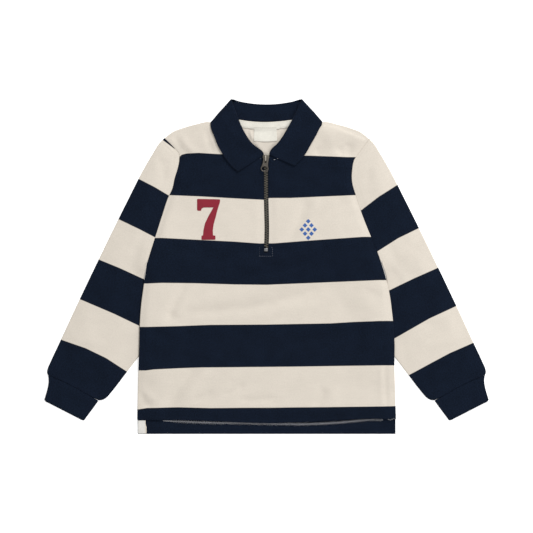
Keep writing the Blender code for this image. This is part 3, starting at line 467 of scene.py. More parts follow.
# The pieces that lie on the front's cloth and on the back's.
ON_FRONT = ["figure_seven", "lozenge_group", "zip_box_stitches", "zip_box_worn_stitches"]
ON_FRONT += ["collar_end_stitches", "collar_end_tacks", "front_hem_stitches", "vent_end_stitches"]
ON_BACK = ["neck_tape_woven", "neck_tape_stitches", "back_neck_stitches", "neck_label_woven"]
ON_BACK += ["label_stitches", "size_tab_woven", "vent_tape_woven", "vent_fold", "coverstitch_threads"]

# Lights, in metres and watts, all aimed at the middle: name, place, size, power. The view's width
# is that of the camera's picture at the surface.
LIGHTS = [("key", (1.3, 3.0, 2.2), 1.2, 137.0), ("fill", (1.4, -2.6, 2.4), 1.6, 57.0)]
WORLD_LIGHT = 0.62
FLOOR_GLOW = 0.45
FLOOR_HALF = 4.0
FLOOR_Z = -0.0003
LENS = 135.0
SENSOR = 36.0
VIEW_WIDTH = 0.82615
CAMERA_Y = -0.00025


# Curves and soft steps.


def smooth(value):
    """0 below 0, 1 above 1, and a soft step between."""
    value = np.clip(value, 0.0, 1.0)
    return value * value * (3.0 - 2.0 * value)


def step(value, start, full):
    """A soft step that starts at one value and is full at another."""
    return smooth((value - start) / (full - start))


def sided(rows, sign):
    """A table for the +X side, on the side that sign names."""
    return [(sign * x, y) for x, y in rows]


def sided_folds(rows, sign):
    """A table of folds for the +X side, on the side that sign names."""
    return [(sign * x0, y0, sign * x1, y1, sign * bend, *size) for x0, y0, x1, y1, bend, *size in rows]


def spline(rows):
    """A smooth curve through the rows, as a function of the share of its length."""
    points = np.array(rows, float)
    lengths = np.linalg.norm(np.diff(points, axis=0), axis=1)
    knots = np.concatenate([[0.0], np.cumsum(lengths)]) / lengths.sum()
    slopes = np.gradient(points, knots, axis=0)

    def at(share):
        share = np.asarray(share, float)
        place = np.clip(np.searchsorted(knots, share, side="right") - 1, 0, len(lengths) - 1)
        span = (knots[place + 1] - knots[place])[..., None]
        t = (share - knots[place])[..., None] / span
        start = (1 + 2 * t) * (1 - t) ** 2 * points[place] + t * (1 - t) ** 2 * span * slopes[place]
        end = t * t * (3 - 2 * t) * points[place + 1]
        return start + end - t * t * (1 - t) * span * slopes[place + 1]

    return at


def joined(curves, knots):
    """Curves end to end, each over its own stretch between two knots."""

    def at(share):
        share = np.asarray(share, float)
        result = np.zeros(share.shape + (2,))
        for curve, low, high in zip(curves, knots, knots[1:]):
            local = np.clip((share - low) / (high - low), 0.0, 1.0)
            inside = (share >= low) & (share <= high)
            result = np.where(inside[..., None], curve(local), result)
        return result

    return at


def patch(bottom, top, left, right):
    """The surface inside four curves that meet at their ends."""

    def at(u, v):
        across = u[..., None]
        up = v[..., None]
        sides = (1 - across) * left(v) + across * right(v)
        ends = (1 - up) * bottom(u) + up * top(u)
        low = (1 - across) * bottom(0.0) + across * bottom(1.0)
        high = (1 - across) * top(0.0) + across * top(1.0)
        return sides + ends - (1 - up) * low - up * high

    return at


def moved_out(curve, share, sign, amount):
    """A point of a curve, moved to one side of it."""
    near = 0.002
    share = np.asarray(share, float)
    along = curve(np.minimum(share + near, 1.0)) - curve(np.maximum(share - near, 0.0))
    along /= np.linalg.norm(along, axis=-1, keepdims=True)
    out = np.stack([along[..., 1], -along[..., 0]], axis=-1)
    return curve(share) + amount * sign * out


def shares(length, spacing, knots=(), low_rim=0.0, high_rim=0.0):
    """Shares of a length in even steps, with finer ones at a rounded edge."""
    ends = sorted({0.0, 1.0, *knots})
    found = []
    for low, high in zip(ends, ends[1:]):
        count = max(1, round((high - low) * length / spacing))
        found.extend(np.linspace(low, high, count + 1))
    found += [part * low_rim / length for part in RIM]
    found += [1 - part * high_rim / length for part in RIM]
    return np.unique(np.round(found, 6))


def drop(distance, radius):
    """How far a rounded edge has come down at a distance from it."""
    inside = np.clip(radius - distance, 0.0, radius)
    return radius - np.sqrt(np.maximum(radius * radius - inside * inside, 0.0))


# Heights of the layers, as functions of the place.

SIDES = {-1: SIDE_RIGHT, 1: SIDE_LEFT}
ARMHOLES = {-1: ARMHOLE_RIGHT, 1: ARMHOLE_LEFT}


def edge_x(y, sign):
    """The side edge and armhole's x at a height."""
    rows = sided([HEM_CORNER, HEM_SIDE], sign) + SIDES[sign] + ARMHOLES[sign][1:]
    x, heights = np.array(rows).T
    return np.interp(y, heights, x)


def distance_to_side(x, y):
    """How far a place is inside the nearer side edge or armhole."""
    return np.minimum(x - edge_x(y, -1), edge_x(y, 1) - x)


def below_shoulder(x, y):
    """How far a place is below the line of the shoulder seams."""
    return np.interp(abs(x), *SHOULDER_LINE) - y


def side_lift(x, y):
    """The body lies over the sleeve from the underarm to where the sleeve comes out."""
    over = step(y, *SLEEVE_ABOVE) * step(y, *SLEEVE_BELOW)
    return SIDE_STEP * over * step(distance_to_side(x, y), *SLEEVE_INSIDE)


def back_floor(x, y):
    """The back panel lies on the sleeves' inner edges and on the back of the collar."""
    return side_lift(x, y) + NECK_STEP * step(y, *COLLAR_Y) * step(abs(x), *COLLAR_X)


def back_top(x, y):
    return back_floor(x, y) + CLOTH


def on_back(x, y):
    return back_top(x, y) + GAP


def zip_middle(y):
    """The line that the zip follows, which the laid cloth bends a little."""
    x, rows = np.array(ZIP_LINE).T
    return np.interp(y, rows, x)


def ridges(folds, x, y):
    """The height that soft folds add at a place."""
    total = 0.0
    for x0, y0, x1, y1, bend, width, height in folds:
        run_x, run_y = x1 - x0, y1 - y0
        length = math.hypot(run_x, run_y)
        along = ((x - x0) * run_x + (y - y0) * run_y) / length**2
        across = ((x - x0) * run_y - (y - y0) * run_x) / length
        across = across - 4 * bend * along * (1 - along)
        ends = smooth(along * 2.5 + 0.5) * smooth((1 - along) * 2.5 + 0.5)
        total = total + height * ends * np.exp(-((across / width) ** 2))
    return total


def rumple(x, y, scale, seed):
    """Small uneven swells of cloth, from -1 to 1."""
    values = [noise.noise(Vector((a / scale, b / scale, seed))) for a, b in zip(np.ravel(x), np.ravel(y))]
    return np.reshape(values, np.shape(x))


def front_floor(x, y):
    """The front lies on the back, on the zip's tapes and on the neck tape, and puffs up between."""
    zipped = step(abs(x - ZIP_X), *ZIPPED_X) * step(y, *ZIPPED_Y)
    necked = step(y, *NECK_Y) * step(abs(x), *NECK_X)
    free = (1 - zipped) * (1 - necked)
    edges = step(distance_to_side(x, y), 0.0, 14.0) * step(y, -237.0, -221.0)
    edges = edges * step(below_shoulder(x, y), 0.0, 20.0)
    return on_back(x, y) + TAPE_STEP * (1 - free) + (PUFF + ridges(FRONT_FOLDS, x, y)) * edges * free


def front_extra(x, y):
    """What the shell adds to the solid's form."""
    off_zip = step(abs(x - zip_middle(y)), 5.0, 17.0)
    edges = step(distance_to_side(x, y), 0.0, 10.0) * step(y, -240.0, -226.0)
    edges = edges * step(below_shoulder(x, y), 0.0, 7.0) * np.maximum(off_zip, step(y, 12.0, -2.0))
    swell = 0.4 * rumple(x, y, 38.0, 1.0) + 0.2 * rumple(x, y, 15.0, 2.0)
    return (CREASE_ROOM + ridges(FRONT_CREASES, x, y) + swell) * edges


def front_heights(x, y):
    """The lower face and the thickness of the front, without its rounded edges."""
    above_hem = y - np.interp(x, *np.array(FRONT_HEM).T)
    low = np.maximum(front_floor(x, y) + front_extra(x, y), back_top(x, y) + GAP / 2)
    return low, CLOTH + HEM_THICK * step(above_hem, HEM_DEPTH + 1.5, HEM_DEPTH - 1.5)


def front_surface(x, y):
    return np.add(*front_heights(x, y))


def leaf_middle(x, y):
    """Half way through the collar leaf where it lies over the front."""
    return front_floor(x, y) + CLOTH + GAP + EASE + LEAF / 2


def leaf_levels(x, y):
    """The middle of the collar leaf at its lowest and at its highest."""
    over = leaf_middle(x, y) + ridges(LEAF_CREASES, x, y)
    return np.full_like(over, LEAF / 2), over


def stand_levels(x, y):
    return back_floor(x, y) + CLOTH / 2, front_floor(x, y) + CLOTH / 2


# The cloth's own coordinates: along a course, across the courses, and the stripe.


def cloth_of(across, along, stripe):
    return np.stack([across * MM, along * MM, np.broadcast_to(stripe, np.shape(across))], axis=-1)


def bands(changes, values):
    """How many stripes lie before a value: whole numbers are the middles of stripes."""
    count = np.full(np.shape(values), -0.5)
    limits = [changes[0] - STRIPE] + list(changes) + [changes[-1] + STRIPE]
    for low, high in zip(limits, limits[1:]):
        count = count + np.clip((values - low) / (high - low), 0.0, 1.0)
    return count


def body_cloth(x, y):
    changes = [-np.interp(x, *np.array(rows, float).T) for rows in BODY_STRIPES]
    return cloth_of(x, y, bands(changes, -y))


def sleeve_place(x, y, sign):
    """A place across a sleeve and along it."""
    run_x = sign * SLEEVE_RUN[0]
    side_x = -sign * SLEEVE_RUN[1]
    return x * side_x + y * SLEEVE_RUN[0], x * run_x + y * SLEEVE_RUN[1]


def sleeve_cloth(sign):
    def at(x, y):
        across, along = sleeve_place(x, y, sign)
        changes = []
        for rows in SLEEVE_STRIPES[sign]:
            place, height = sleeve_place(*np.array(rows, float).T, sign)
            order = np.argsort(place)
            changes.append(np.interp(across, place[order], height[order]))
        return cloth_of(across, along, bands(changes, along) + 1.0)

    return at


def navy_cloth(x, y):
    return cloth_of(x, y, 1.0)


# Meshes.

# The materials by name, as Nodes makes them.
MATERIALS = {}


def numbered(rows, columns, first=0):
    """The numbers of a grid of points."""
    return first + np.arange(rows * columns).reshape(rows, columns)


def closed(index):
    """A grid whose rows go all the way round."""
    return np.concatenate([index, index[:, :1]], axis=1)


def quads_of(index):
    """The faces of a grid of point numbers."""
    return np.stack([index[:-1, :-1], index[:-1, 1:], index[1:, 1:], index[1:, :-1]], -1).reshape(-1, 4)


def solids(stacks):
    """Points and faces of closed solids, each from a stack of rings of points."""
    points = []
    faces = []
    for stack in stacks:
        index = numbered(*np.shape(stack)[:2], len(points))
        points.extend(np.reshape(stack, (-1, 3)))
        faces += [index[0, ::-1], index[-1], *quads_of(closed(index))]
    return points, faces


def plate(outline, low, high):
    """An outline made into a solid between two heights."""
    return solids([[[(x, y, z) for x, y in outline] for z in (low, high)]])


def box(low, high):
    (x0, y0, z0), (x1, y1, z1) = low, high
    return plate([(x0, y0), (x1, y0), (x1, y1), (x0, y1)], z0, z1)


def shown(name, data):
    made = bpy.data.objects.new(name, data)
    bpy.context.scene.collection.objects.link(made)
    return made


def mesh_of(name, points, faces):
    """A mesh in metres from points in millimetres."""
    mesh = bpy.data.meshes.new(name)
    mesh.from_pydata((np.asarray(points, float) * MM).tolist(), [], [tuple(face) for face in faces])
    return mesh


def add_mesh(name, points, faces, cloth=None, sharp=50.0, body="garment"):
    """A piece that the table of pieces lists, with its faces turned outwards."""
    material, *nodes = PIECES[name]
    mesh = mesh_of(name, points, faces)
    work = bmesh.new()
    work.from_mesh(mesh)
    bmesh.ops.recalc_face_normals(work, faces=work.faces)
    work.to_mesh(mesh)
    work.free()
    if cloth is not None:
        place = mesh.attributes.new("cloth", "FLOAT_VECTOR", "POINT")
        place.data.foreach_set("vector", np.asarray(cloth, np.float32).ravel())
    mesh.shade_smooth()
    mesh.set_sharp_from_angle(angle=math.radians(sharp))
    mesh.materials.append(MATERIALS[material])
    made = shown(name, mesh)
    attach(made, body)
    if nodes:
        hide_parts(*nodes)
    return made


def shell(name, low, high, quads, cloth):
    """The closed shell between two sheets of matching points, of which it keeps those in use."""
    used, quads = np.unique(quads, return_inverse=True)
    quads = quads.reshape(-1, 4)
    edges = np.concatenate([quads[:, [0, 1]], quads[:, [1, 2]], quads[:, [2, 3]], quads[:, [3, 0]]])
    _, first, uses = np.unique(np.sort(edges, axis=1), axis=0, return_index=True, return_counts=True)
    border = edges[first[uses == 1]]
    walls = np.column_stack([border, border[:, ::-1] + len(used)])
    faces = np.concatenate([quads + len(used), quads[:, ::-1], walls])
    points = np.concatenate([low[used], high[used]])
    return add_mesh(name, points, faces, np.concatenate([cloth[used], cloth[used]]))


def layer(name, x, y, low, high, quads, cloth):
    """A shell between two heights at each place."""
    return shell(name, np.column_stack([x, y, low]), np.column_stack([x, y, high]), quads, cloth)


def thickened(name, points, thick, quads, cloth):
    """A shell of even thickness, from a sheet of points half way through the cloth."""
    corner = points[quads]
    normal = np.cross(corner[:, 2] - corner[:, 0], corner[:, 3] - corner[:, 1])
    normal /= np.maximum(np.linalg.norm(normal, axis=1, keepdims=True), 1e-9)
    normals = np.zeros_like(points)
    for place in range(4):
        np.add.at(normals, quads[:, place], normal)
    normals /= np.maximum(np.linalg.norm(normals, axis=1, keepdims=True), 1e-9)
    half = normals * np.reshape(thick, (-1, 1)) / 2
    return shell(name, points - half, points + half, quads, cloth)


# Materials.


class Nodes:
    """A short way to write a material's nodes."""

    def __init__(self, name):
        self.material = bpy.data.materials.new(name)
        MATERIALS[name] = self.material
        self.material.use_nodes = True
        self.tree = self.material.node_tree
        self.shader = self.tree.nodes["Principled BSDF"]

    def put(self, node, values):
        """Links or sets a node's inputs, each by its name or number."""
        for key, value in values.items():
            socket = node.inputs[key]
            if isinstance(value, bpy.types.NodeSocket):
                self.tree.links.new(value, socket)
            elif socket.type == "RGBA":
                socket.default_value = (*value, 1.0)
            else:
                socket.default_value = value

    def node(self, kind, values, operation=None):
        node = self.tree.nodes.new("ShaderNode" + kind)
        if operation:
            node.operation = operation
        self.put(node, values)
        return node.outputs

    def math(self, operation, a, b=0.0):
        return self.node("Math", {0: a, 1: b}, operation)[0]

    def add(self, a, b):
        return self.math("ADD", a, b)

    def times(self, a, b):
        return self.math("MULTIPLY", a, b)

    def noise(self, vector, scale, detail=2.0, rough=0.5):
        values = {"Vector": vector, "Scale": scale, "Detail": detail, "Roughness": rough}
        return self.node("TexNoise", values)["Fac"]

    def part(self, vector, axis):
        return self.node("SeparateXYZ", {0: vector})[axis]

    def ramp(self, value, low, high, to_low, to_high):
        """A soft step of a value from one range to another."""
        node = self.tree.nodes.new("ShaderNodeMapRange")
        node.interpolation_type = "SMOOTHSTEP"
        self.put(node, {"Value": value, "From Min": low, "From Max": high})
        self.put(node, {"To Min": to_low, "To Max": to_high})
        return node.outputs["Result"]

    def uneven(self, value, amount, spread=0.2):
        """A noise's value, turned into one from -amount to amount."""
        return self.ramp(value, 0.5 - spread, 0.5 + spread, -amount, amount)

    def mix(self, factor, a, b):
        node = self.tree.nodes.new("ShaderNodeMix")
        node.data_type = "RGBA"
        self.put(node, {0: factor, 6: a, 7: b})
        return node.outputs[2]

    def scaled(self, colour, factor):
        """A colour multiplied by a number."""
        return self.node("VectorMath", {0: colour, "Scale": factor}, "SCALE")["Vector"]

    def bump(self, height, strength):
        values = {"Strength": strength, "Distance": BUMP_DEPTH, "Height": height}
        self.put(self.shader, {"Normal": self.node("Bump", values)["Normal"]})

    def finish(self, colour, roughness, metallic=0.0, specular=0.5, sheen=0.0):
        self.put(self.shader, {"Base Color": colour, "Roughness": roughness, "Metallic": metallic})
        self.put(self.shader, {"Specular IOR Level": specular})
        self.put(self.shader, {"Sheen Weight": sheen, "Sheen Roughness": 0.5})


def knit(name, striped=False, rib=0.0):
    """Cotton knit: fine courses, small uneven yarn and, on the body, yarn-dyed stripes."""
    n = Nodes(name)
    attribute = n.tree.nodes.new("ShaderNodeAttribute")
    attribute.attribute_name = "cloth"
    cloth = attribute.outputs["Vector"]

    def field(along, across, detail, rough=0.5):
        stretched = n.node("VectorMath", {0: cloth, 1: (along, across, 0.0)}, "MULTIPLY")["Vector"]
        return n.noise(stretched, 1.0, detail, rough)

    fine = field(900.0, 1500.0, 2.0)
    grain = field(560.0, 800.0, 2.0, 0.6)
    courses = n.uneven(field(50.0, 620.0, 3.0, 0.6), 0.014)
    tone = n.add(courses, n.uneven(field(30.0, 44.0, 3.0, 0.65), 0.016))
    worn = n.add(n.uneven(field(42.0, 42.0, 1.0), 0.07), n.times(tone, 3.0))
    colour = n.scaled(NAVY, n.add(worn, n.ramp(grain, 0.25, 0.75, 0.45, 1.65)))
    if striped:
        pale = n.scaled(ECRU, n.add(n.add(tone, 1.0), n.uneven(grain, 0.062, 0.25)))
        wobble = n.times(n.math("SUBTRACT", fine, 0.5), 0.012)
        stripe = n.math("PINGPONG", n.add(n.part(cloth, "Z"), wobble), 1.0)
        colour = n.mix(n.ramp(stripe, 0.493, 0.507, 0.0, 1.0), pale, colour)
    stitch = n.math("SINE", n.times(n.part(cloth, "Y"), 2 * math.pi / COURSE))
    if rib:
        ribbing = n.math("SINE", n.times(n.part(cloth, "X"), 2 * math.pi / rib))
        stitch = n.add(n.times(ribbing, 1.5), n.times(stitch, 0.3))
    n.bump(n.add(n.times(stitch, 0.35), fine), 0.35)
    n.finish(colour, 0.92, specular=0.06, sheen=0.02)


def plain(name, colour, roughness, metallic, specular, grain, depth):
    """A trim, thread or metal with a little unevenness of its own."""
    n = Nodes(name)
    place = n.node("TexCoord", {})["Object"]
    fine = n.noise(place, grain)
    slow = n.noise(place, 60.0)
    light = n.add(n.ramp(fine, 0.3, 0.7, 0.94, 1.06), n.uneven(slow, 0.05))
    n.bump(fine, depth)
    rough = n.ramp(slow, 0.3, 0.7, roughness - 0.05, min(roughness + 0.05, 1.0))
    n.finish(n.scaled(colour, light), rough, metallic, specular)


# The body.


def body_side(sign, hem_point):
    """A side edge from the hem to the shoulder tip; the underarm is at UNDERARM_ROW."""
    lower = spline([hem_point, *sided([HEM_SIDE], sign)] + SIDES[sign])
    return joined([lower, spline(ARMHOLES[sign])], [0.0, UNDERARM_ROW, 1.0])


def centre_line(low_y, high_y):
    def at(share):
        y = np.interp(share, [0.0, UNDERARM_ROW, 1.0], [low_y, CENTRE_UNDERARM_Y, high_y])
        return np.stack([zip_middle(y), y], axis=-1)

    return at


def neck_front(sign):
    """One half of the front neckline, from the neck point to the top of the slit."""
    return spline(sided(NECK_FRONT[:-1], sign) + [(ZIP_X, NECK_FRONT[-1][1])])


def backwards(curve):
    return lambda share: curve(1 - share)


def shoulders():
    """Both shoulder seams, each towards +X."""
    return spline(sided(SHOULDER, -1)), spline(([ARMHOLE_LEFT[-1]] + SHOULDER[1:])[::-1])


def front_cloth():
    """Both halves of the front, which join down the middle below the zip's slit."""
    neck_y = NECK_FRONT[-1][1]
    slit_share = (SLIT_END_Y - CENTRE_UNDERARM_Y) / (neck_y - CENTRE_UNDERARM_Y)
    slit_row = UNDERARM_ROW + (1 - UNDERARM_ROW) * slit_share
    above_slit = slit_row + 0.003
    hem = spline(FRONT_HEM)
    middle = next(share for share in np.linspace(0.4, 0.6, 2001) if hem(share)[0] >= ZIP_X)
    centre = centre_line(hem(middle)[1], neck_y)
    shoulder_right, shoulder_left = shoulders()
    right = patch(
        lambda u: hem(np.asarray(u) * middle),
        joined([shoulder_right, neck_front(-1)], [0.0, NECK_COLUMN, 1.0]),
        body_side(-1, FRONT_HEM[0]),
        centre,
    )
    left = patch(
        lambda u: hem(middle + np.asarray(u) * (1 - middle)),
        joined([backwards(neck_front(1)), shoulder_left], [0.0, 1 - NECK_COLUMN, 1.0]),
        centre,
        body_side(1, FRONT_HEM[-1]),
    )
    rows = shares(2 * HALF_LENGTH, SPACING, (UNDERARM_ROW, slit_row, above_slit), CUT_RIM, SEAM_RIM)
    columns = shares(HALF_WIDTH, SPACING, (NECK_COLUMN,), SEAM_RIM, CUT_RIM)
    v, u = np.meshgrid(rows, columns, indexing="ij")
    opened = v >= above_slit
    halves = []
    for sheet, sign, side in ((right, -1, u), (left, 1, u[:, ::-1])):
        x, y = np.moveaxis(sheet(side if sign < 0 else 1 - side, v), -1, 0)
        to_slit = (1 - side) * HALF_WIDTH
        x = x + sign * SLIT_HALF * np.clip(1 - to_slit / (2 * SPACING), 0.0, 1.0) * opened
        edge = np.minimum(side * HALF_WIDTH, (1 - v) * 2 * HALF_LENGTH)
        cut = np.minimum(v * 2 * HALF_LENGTH, np.where(opened, to_slit, HALF_WIDTH))
        halves.append([part.ravel() for part in (x, y, edge, cut)])
    x, y, edge, cut = np.concatenate(halves, axis=1)
    index = numbered(2 * len(rows), len(columns)).reshape(2, *u.shape)
    index[1, ~opened[:, 0], 0] = index[0, ~opened[:, 0], -1]
    quads = np.concatenate([quads_of(half) for half in index])
    low, thick = front_heights(x, y)
    cut = drop(cut, CLOTH / 2)
    high = np.maximum(low + thick - drop(edge, SEAM_ROUND) - cut, low + 1.2 * LEAST_THICK)
    low = low + np.minimum(cut, (thick - LEAST_THICK) / 2)
    high = np.maximum(high, low + LEAST_THICK)
    return layer("front_cloth", x, y, low, high, quads, body_cloth(x, y))


def back_cloth():
    knots = [0.0, BACK_NECK_COLUMN, 1 - BACK_NECK_COLUMN, 1.0]
    shoulder_right, shoulder_left = shoulders()
    sheet = patch(
        spline(BACK_HEM),
        joined([shoulder_right, spline(NECK_BACK), shoulder_left], knots),
        body_side(-1, BACK_HEM[0]),
        body_side(1, BACK_HEM[-1]),
    )
    rows = shares(2 * HALF_LENGTH, SPACING, (UNDERARM_ROW,), CUT_RIM, SEAM_RIM)
    columns = shares(2 * HALF_WIDTH, SPACING, knots[1:3] + BACK_COLUMNS, SEAM_RIM, SEAM_RIM)
    v, u = (part.ravel() for part in np.meshgrid(rows, columns, indexing="ij"))
    x, y = sheet(u, v).T
    across = 2 * HALF_WIDTH * np.minimum(u, 1 - u)
    edge = np.minimum(across, (1 - v) * 2 * HALF_LENGTH)
    cut = drop(v * 2 * HALF_LENGTH, CLOTH / 2)
    low = back_floor(x, y) + ridges(BACK_CREASES, x, y)
    high = low + CLOTH + BACK_HEM_THICK * step(y - BACK_HEM[0][1], 8.0, 5.0) - cut
    high = high - np.where(y < VENT_TOP, drop(across, CLOTH / 2), 0.0)
    low = low + cut + np.minimum(drop(edge, SEAM_ROUND), CLOTH - 1.5 * LEAST_THICK)
    high = np.maximum(high, low + LEAST_THICK)
    quads = quads_of(numbered(len(rows), len(columns)))
    return layer("back_cloth", x, y, low, high, quads, body_cloth(x, y))


# The sleeves and cuffs.


def flattened_row(plan, height, thick, lift, flats, tubular=True):
    """Points half way through the cloth, round one section of a flattened tube."""
    width = np.linalg.norm(plan(1.0) - plan(0.0))
    edge = float(height(np.array(0.0), width)) / 2
    radius = edge - thick / 2
    near = edge / width
    far = 1 - near if tubular else 1.0
    flat = near + (far - near) * flats

    def placed(s, rise):
        x, y = plan(s).T
        return np.column_stack([x, y, rise + lift(x, y)])

    fold_z = edge - radius * np.cos(FOLD_TURNS)
    reach = radius / width * np.sin(FOLD_TURNS)
    outer = placed(near - reach, fold_z)
    inner = placed(1 - near + reach, fold_z)[::-1]
    lower = placed(flat[::-1], np.full_like(flat, thick / 2))
    upper = placed(flat, height(flat, width) - thick / 2)
    return np.concatenate([lower, outer, upper, inner])


def flattened_tube(name, rows, first_closed, thick, cloth):
    """A tube from its sections, open at both ends, and along its inner edge to first_closed."""
    around = closed(numbered(len(rows), len(rows[0])))
    open_part = around[: first_closed + 1, : len(rows[0]) - len(FOLD_TURNS)]
    quads = np.concatenate([quads_of(open_part), quads_of(around[first_closed:])])
    points = np.concatenate(rows)
    return thickened(name, points, thick, quads, cloth(points[:, 0], points[:, 1]))


def sleeve(sign):
    """A tube that the armhole cuts at a slant, from the shoulder tip to the cuff."""
    edge = spline(ARMHOLES[sign])
    outer = spline(sided([SHOULDER[0]] + SLEEVE_OUTER, sign))
    first = tuple(moved_out(edge, 0.0, sign, GAP))
    inner = spline([first] + UNDERARMS[sign] + sided(SLEEVE_INNER, sign))
    end_seam = spline(sided(CUFF_SEAM, sign))
    cap = moved_out(edge, np.linspace(0.0, 1.0, 120), sign, GAP)
    folds = sided_folds(SLEEVE_FOLDS, sign)
    creases = sided_folds(SLEEVE_CREASES, sign)
    low = 2 * CLOTH + GAP
    flats = shares(SLEEVE_WIDTH, SPACING)

    def from_armhole(x, y):
        return np.sqrt(((np.stack([x, y], -1)[..., None, :] - cap) ** 2).sum(-1)).min(-1)

    def lift(x, y):
        return side_lift(x, y) * (1 - step(from_armhole(x, y), 0.0, 26.0))

    def section(outer_share, inner_end, seam_share, tucked, tubular):
        start = outer(outer_share)

        def plan(s):
            part = np.asarray(s, float)[..., None]
            bow = end_seam(s) - (1 - part) * end_seam(0.0) - part * end_seam(1.0)
            return (1 - part) * start + part * inner_end + seam_share * bow

        def height(s, width):
            x, y = np.moveaxis(plan(s), -1, 0)
            apart = from_armhole(x, y)
            to_outer = s * width
            to_tuck = (1 - s) * width - tucked
            puff = SLEEVE_PUFF + 0.5 * ridges(folds, x, y)
            puff = puff * step(to_outer, 0.0, 26.0) * step(to_tuck, 0.0, 36.0)
            puff = puff * step(apart, 0.0, 30.0) * (1 - smooth(seam_share * 1.4 - 0.4))
            creased = CREASE_ROOM / 2 + ridges(creases, x, y) + 0.3 * rumple(x, y, 30.0, 5.0 + sign)
            pressed = 0.9 * step(apart, 0.0, 1.2) * step(apart, 6.5, 5.0)
            pressed = pressed + 0.6 * step(seam_share, 0.965, 0.995)
            free = step(to_outer, 0.0, 12.0) * step(to_tuck, 0.0, 14.0)
            edge_height = low + (SLEEVE_HEIGHT - low) * step(apart, 0.0, 12.0)
            return edge_height + puff + (creased * step(apart, 0.0, 10.0) + pressed) * free

        return flattened_row(plan, height, CLOTH, lift, flats, tubular)

    rows = []
    for share in [0.997, *shares(ARMHOLE_LENGTH, SPACING)[1:-1][::-1]]:
        inner_end = moved_out(edge, share, sign, GAP)
        rows.append(section(UNDERARM_SHARE * (1 - share), inner_end, 0.0, 0.0, False))
    first_closed = len(rows)
    for share in shares(SLEEVE_LENGTH, SPACING, (), 0.0, END_RIM):
        outer_share = UNDERARM_SHARE + (1 - UNDERARM_SHARE) * share
        tucked = SLEEVE_TUCK * step(share, 0.0, 0.2) * step(share, 0.75, 0.55)
        rows.append(section(outer_share, inner(share), smooth(share * 3 - 2), tucked, True))
    name = f"sleeve_{SIDE_NAMES[sign]}_cloth"
    return flattened_tube(name, rows, first_closed, CLOTH, sleeve_cloth(sign))


def seam(name, curve, share, sign, reaches, high, thick, cloth):
    """A narrow strip that closes the gap between two sewn pieces."""
    places = np.stack([moved_out(curve, share, sign, reach) for reach in reaches])
    x, y = places.reshape(-1, 2).T
    top = high(x, y)
    layer(name, x, y, top - thick, top, quads_of(numbered(*places.shape[:2])), cloth(x, y))


def armhole_seam(sign):
    def high(x, y):
        return side_lift(x, y) + 2 * CLOTH + GAP - 0.4

    name = f"armhole_seam_{SIDE_NAMES[sign]}"
    share = np.linspace(0.01, 1.0, 90)
    seam(name, spline(ARMHOLES[sign]), share, sign, (-0.5, 0.15, 0.8), high, 0.9, sleeve_cloth(sign))


def cuff_seam(sign):
    def high(x, y):
        return np.full_like(x, 2.9)

    name = f"cuff_seam_{SIDE_NAMES[sign]}"
    curve = spline(sided(CUFF_SEAM, sign))
    share = np.linspace(0.012, 0.996, 40)
    seam(name, curve, share, -sign, (0.4, -0.3, -1.1), high, 2.4, navy_cloth)


def cuff(sign):
    start = [CUFF_OUTER[0]] + [(x, y - 2 * GAP) for x, y in CUFF_SEAM[1:-1]] + [CUFF_INNER[0]]
    sheet = patch(*(spline(sided(rows, sign)) for rows in (start, CUFF_END, CUFF_OUTER, CUFF_INNER)))
    flats = shares(CUFF_WIDTH, CUFF_SPACING)
    rows = []
    for t in shares(CUFF_LENGTH, CUFF_SPACING, (), CUFF_ROUND, CUFF_ROUND):
        end = 0.6 * drop(CUFF_LENGTH * min(t, 1 - t), CUFF_ROUND)

        def plan(s):
            s = np.asarray(s, float)
            return sheet(s, np.full_like(s, t))

        def height(s, width):
            puff = CUFF_PUFF * step(s, 0.0, 0.25) * step(s, 1.0, 0.75) * step(t, 0.0, 0.2)
            return CUFF_HEIGHT - 2 * end + puff

        rows.append(flattened_row(plan, height, RIB, lambda x, y: end, flats))

    def cloth(x, y):
        return cloth_of(*sleeve_place(x, y, sign), 1.0)

    return flattened_tube(f"cuff_{SIDE_NAMES[sign]}_rib", rows, 0, RIB, cloth)


# The collar.


def inset_corner(sign):
    """The axis of the leaf's fold over a shoulder, inside the outline by its round."""
    roll = np.array([sign * CORNER_ROLL[0], CORNER_ROLL[1]])
    edge = np.array(CORNER_EDGES[sign])
    run = (roll - edge) / np.linalg.norm(roll - edge)
    out = sign * np.array([run[1], -run[0]])
    ends = []
    for point in (edge, roll):
        inside = point - 3.5 * out
        radius = (leaf_middle(*inside) - LEAF / 2) / 2
        ends.append(point - (radius + LEAF / 2) * out)
    return ends, out


def slanted(corner, turn, slant):
    """The ends of a fold over a shoulder at one turn of it, where the cloth runs at a slant."""
    edge, roll = (np.asarray(point, float) for point in corner)
    run = (roll - edge) / np.linalg.norm(roll - edge)
    late = 1 - math.cos(turn)
    down, front, back = slant
    return edge - down * late * run, roll + (back if turn < 0 else -front) * late * run


def facets(right, rear, left, front_ends, back_ends):
    """An edge's curves along the right front, the back and the left front."""
    return (
        spline(right[::-1] + [front_ends[0]]),
        spline([back_ends[0]] + rear + [back_ends[1]]),
        spline([front_ends[1]] + left),
    )


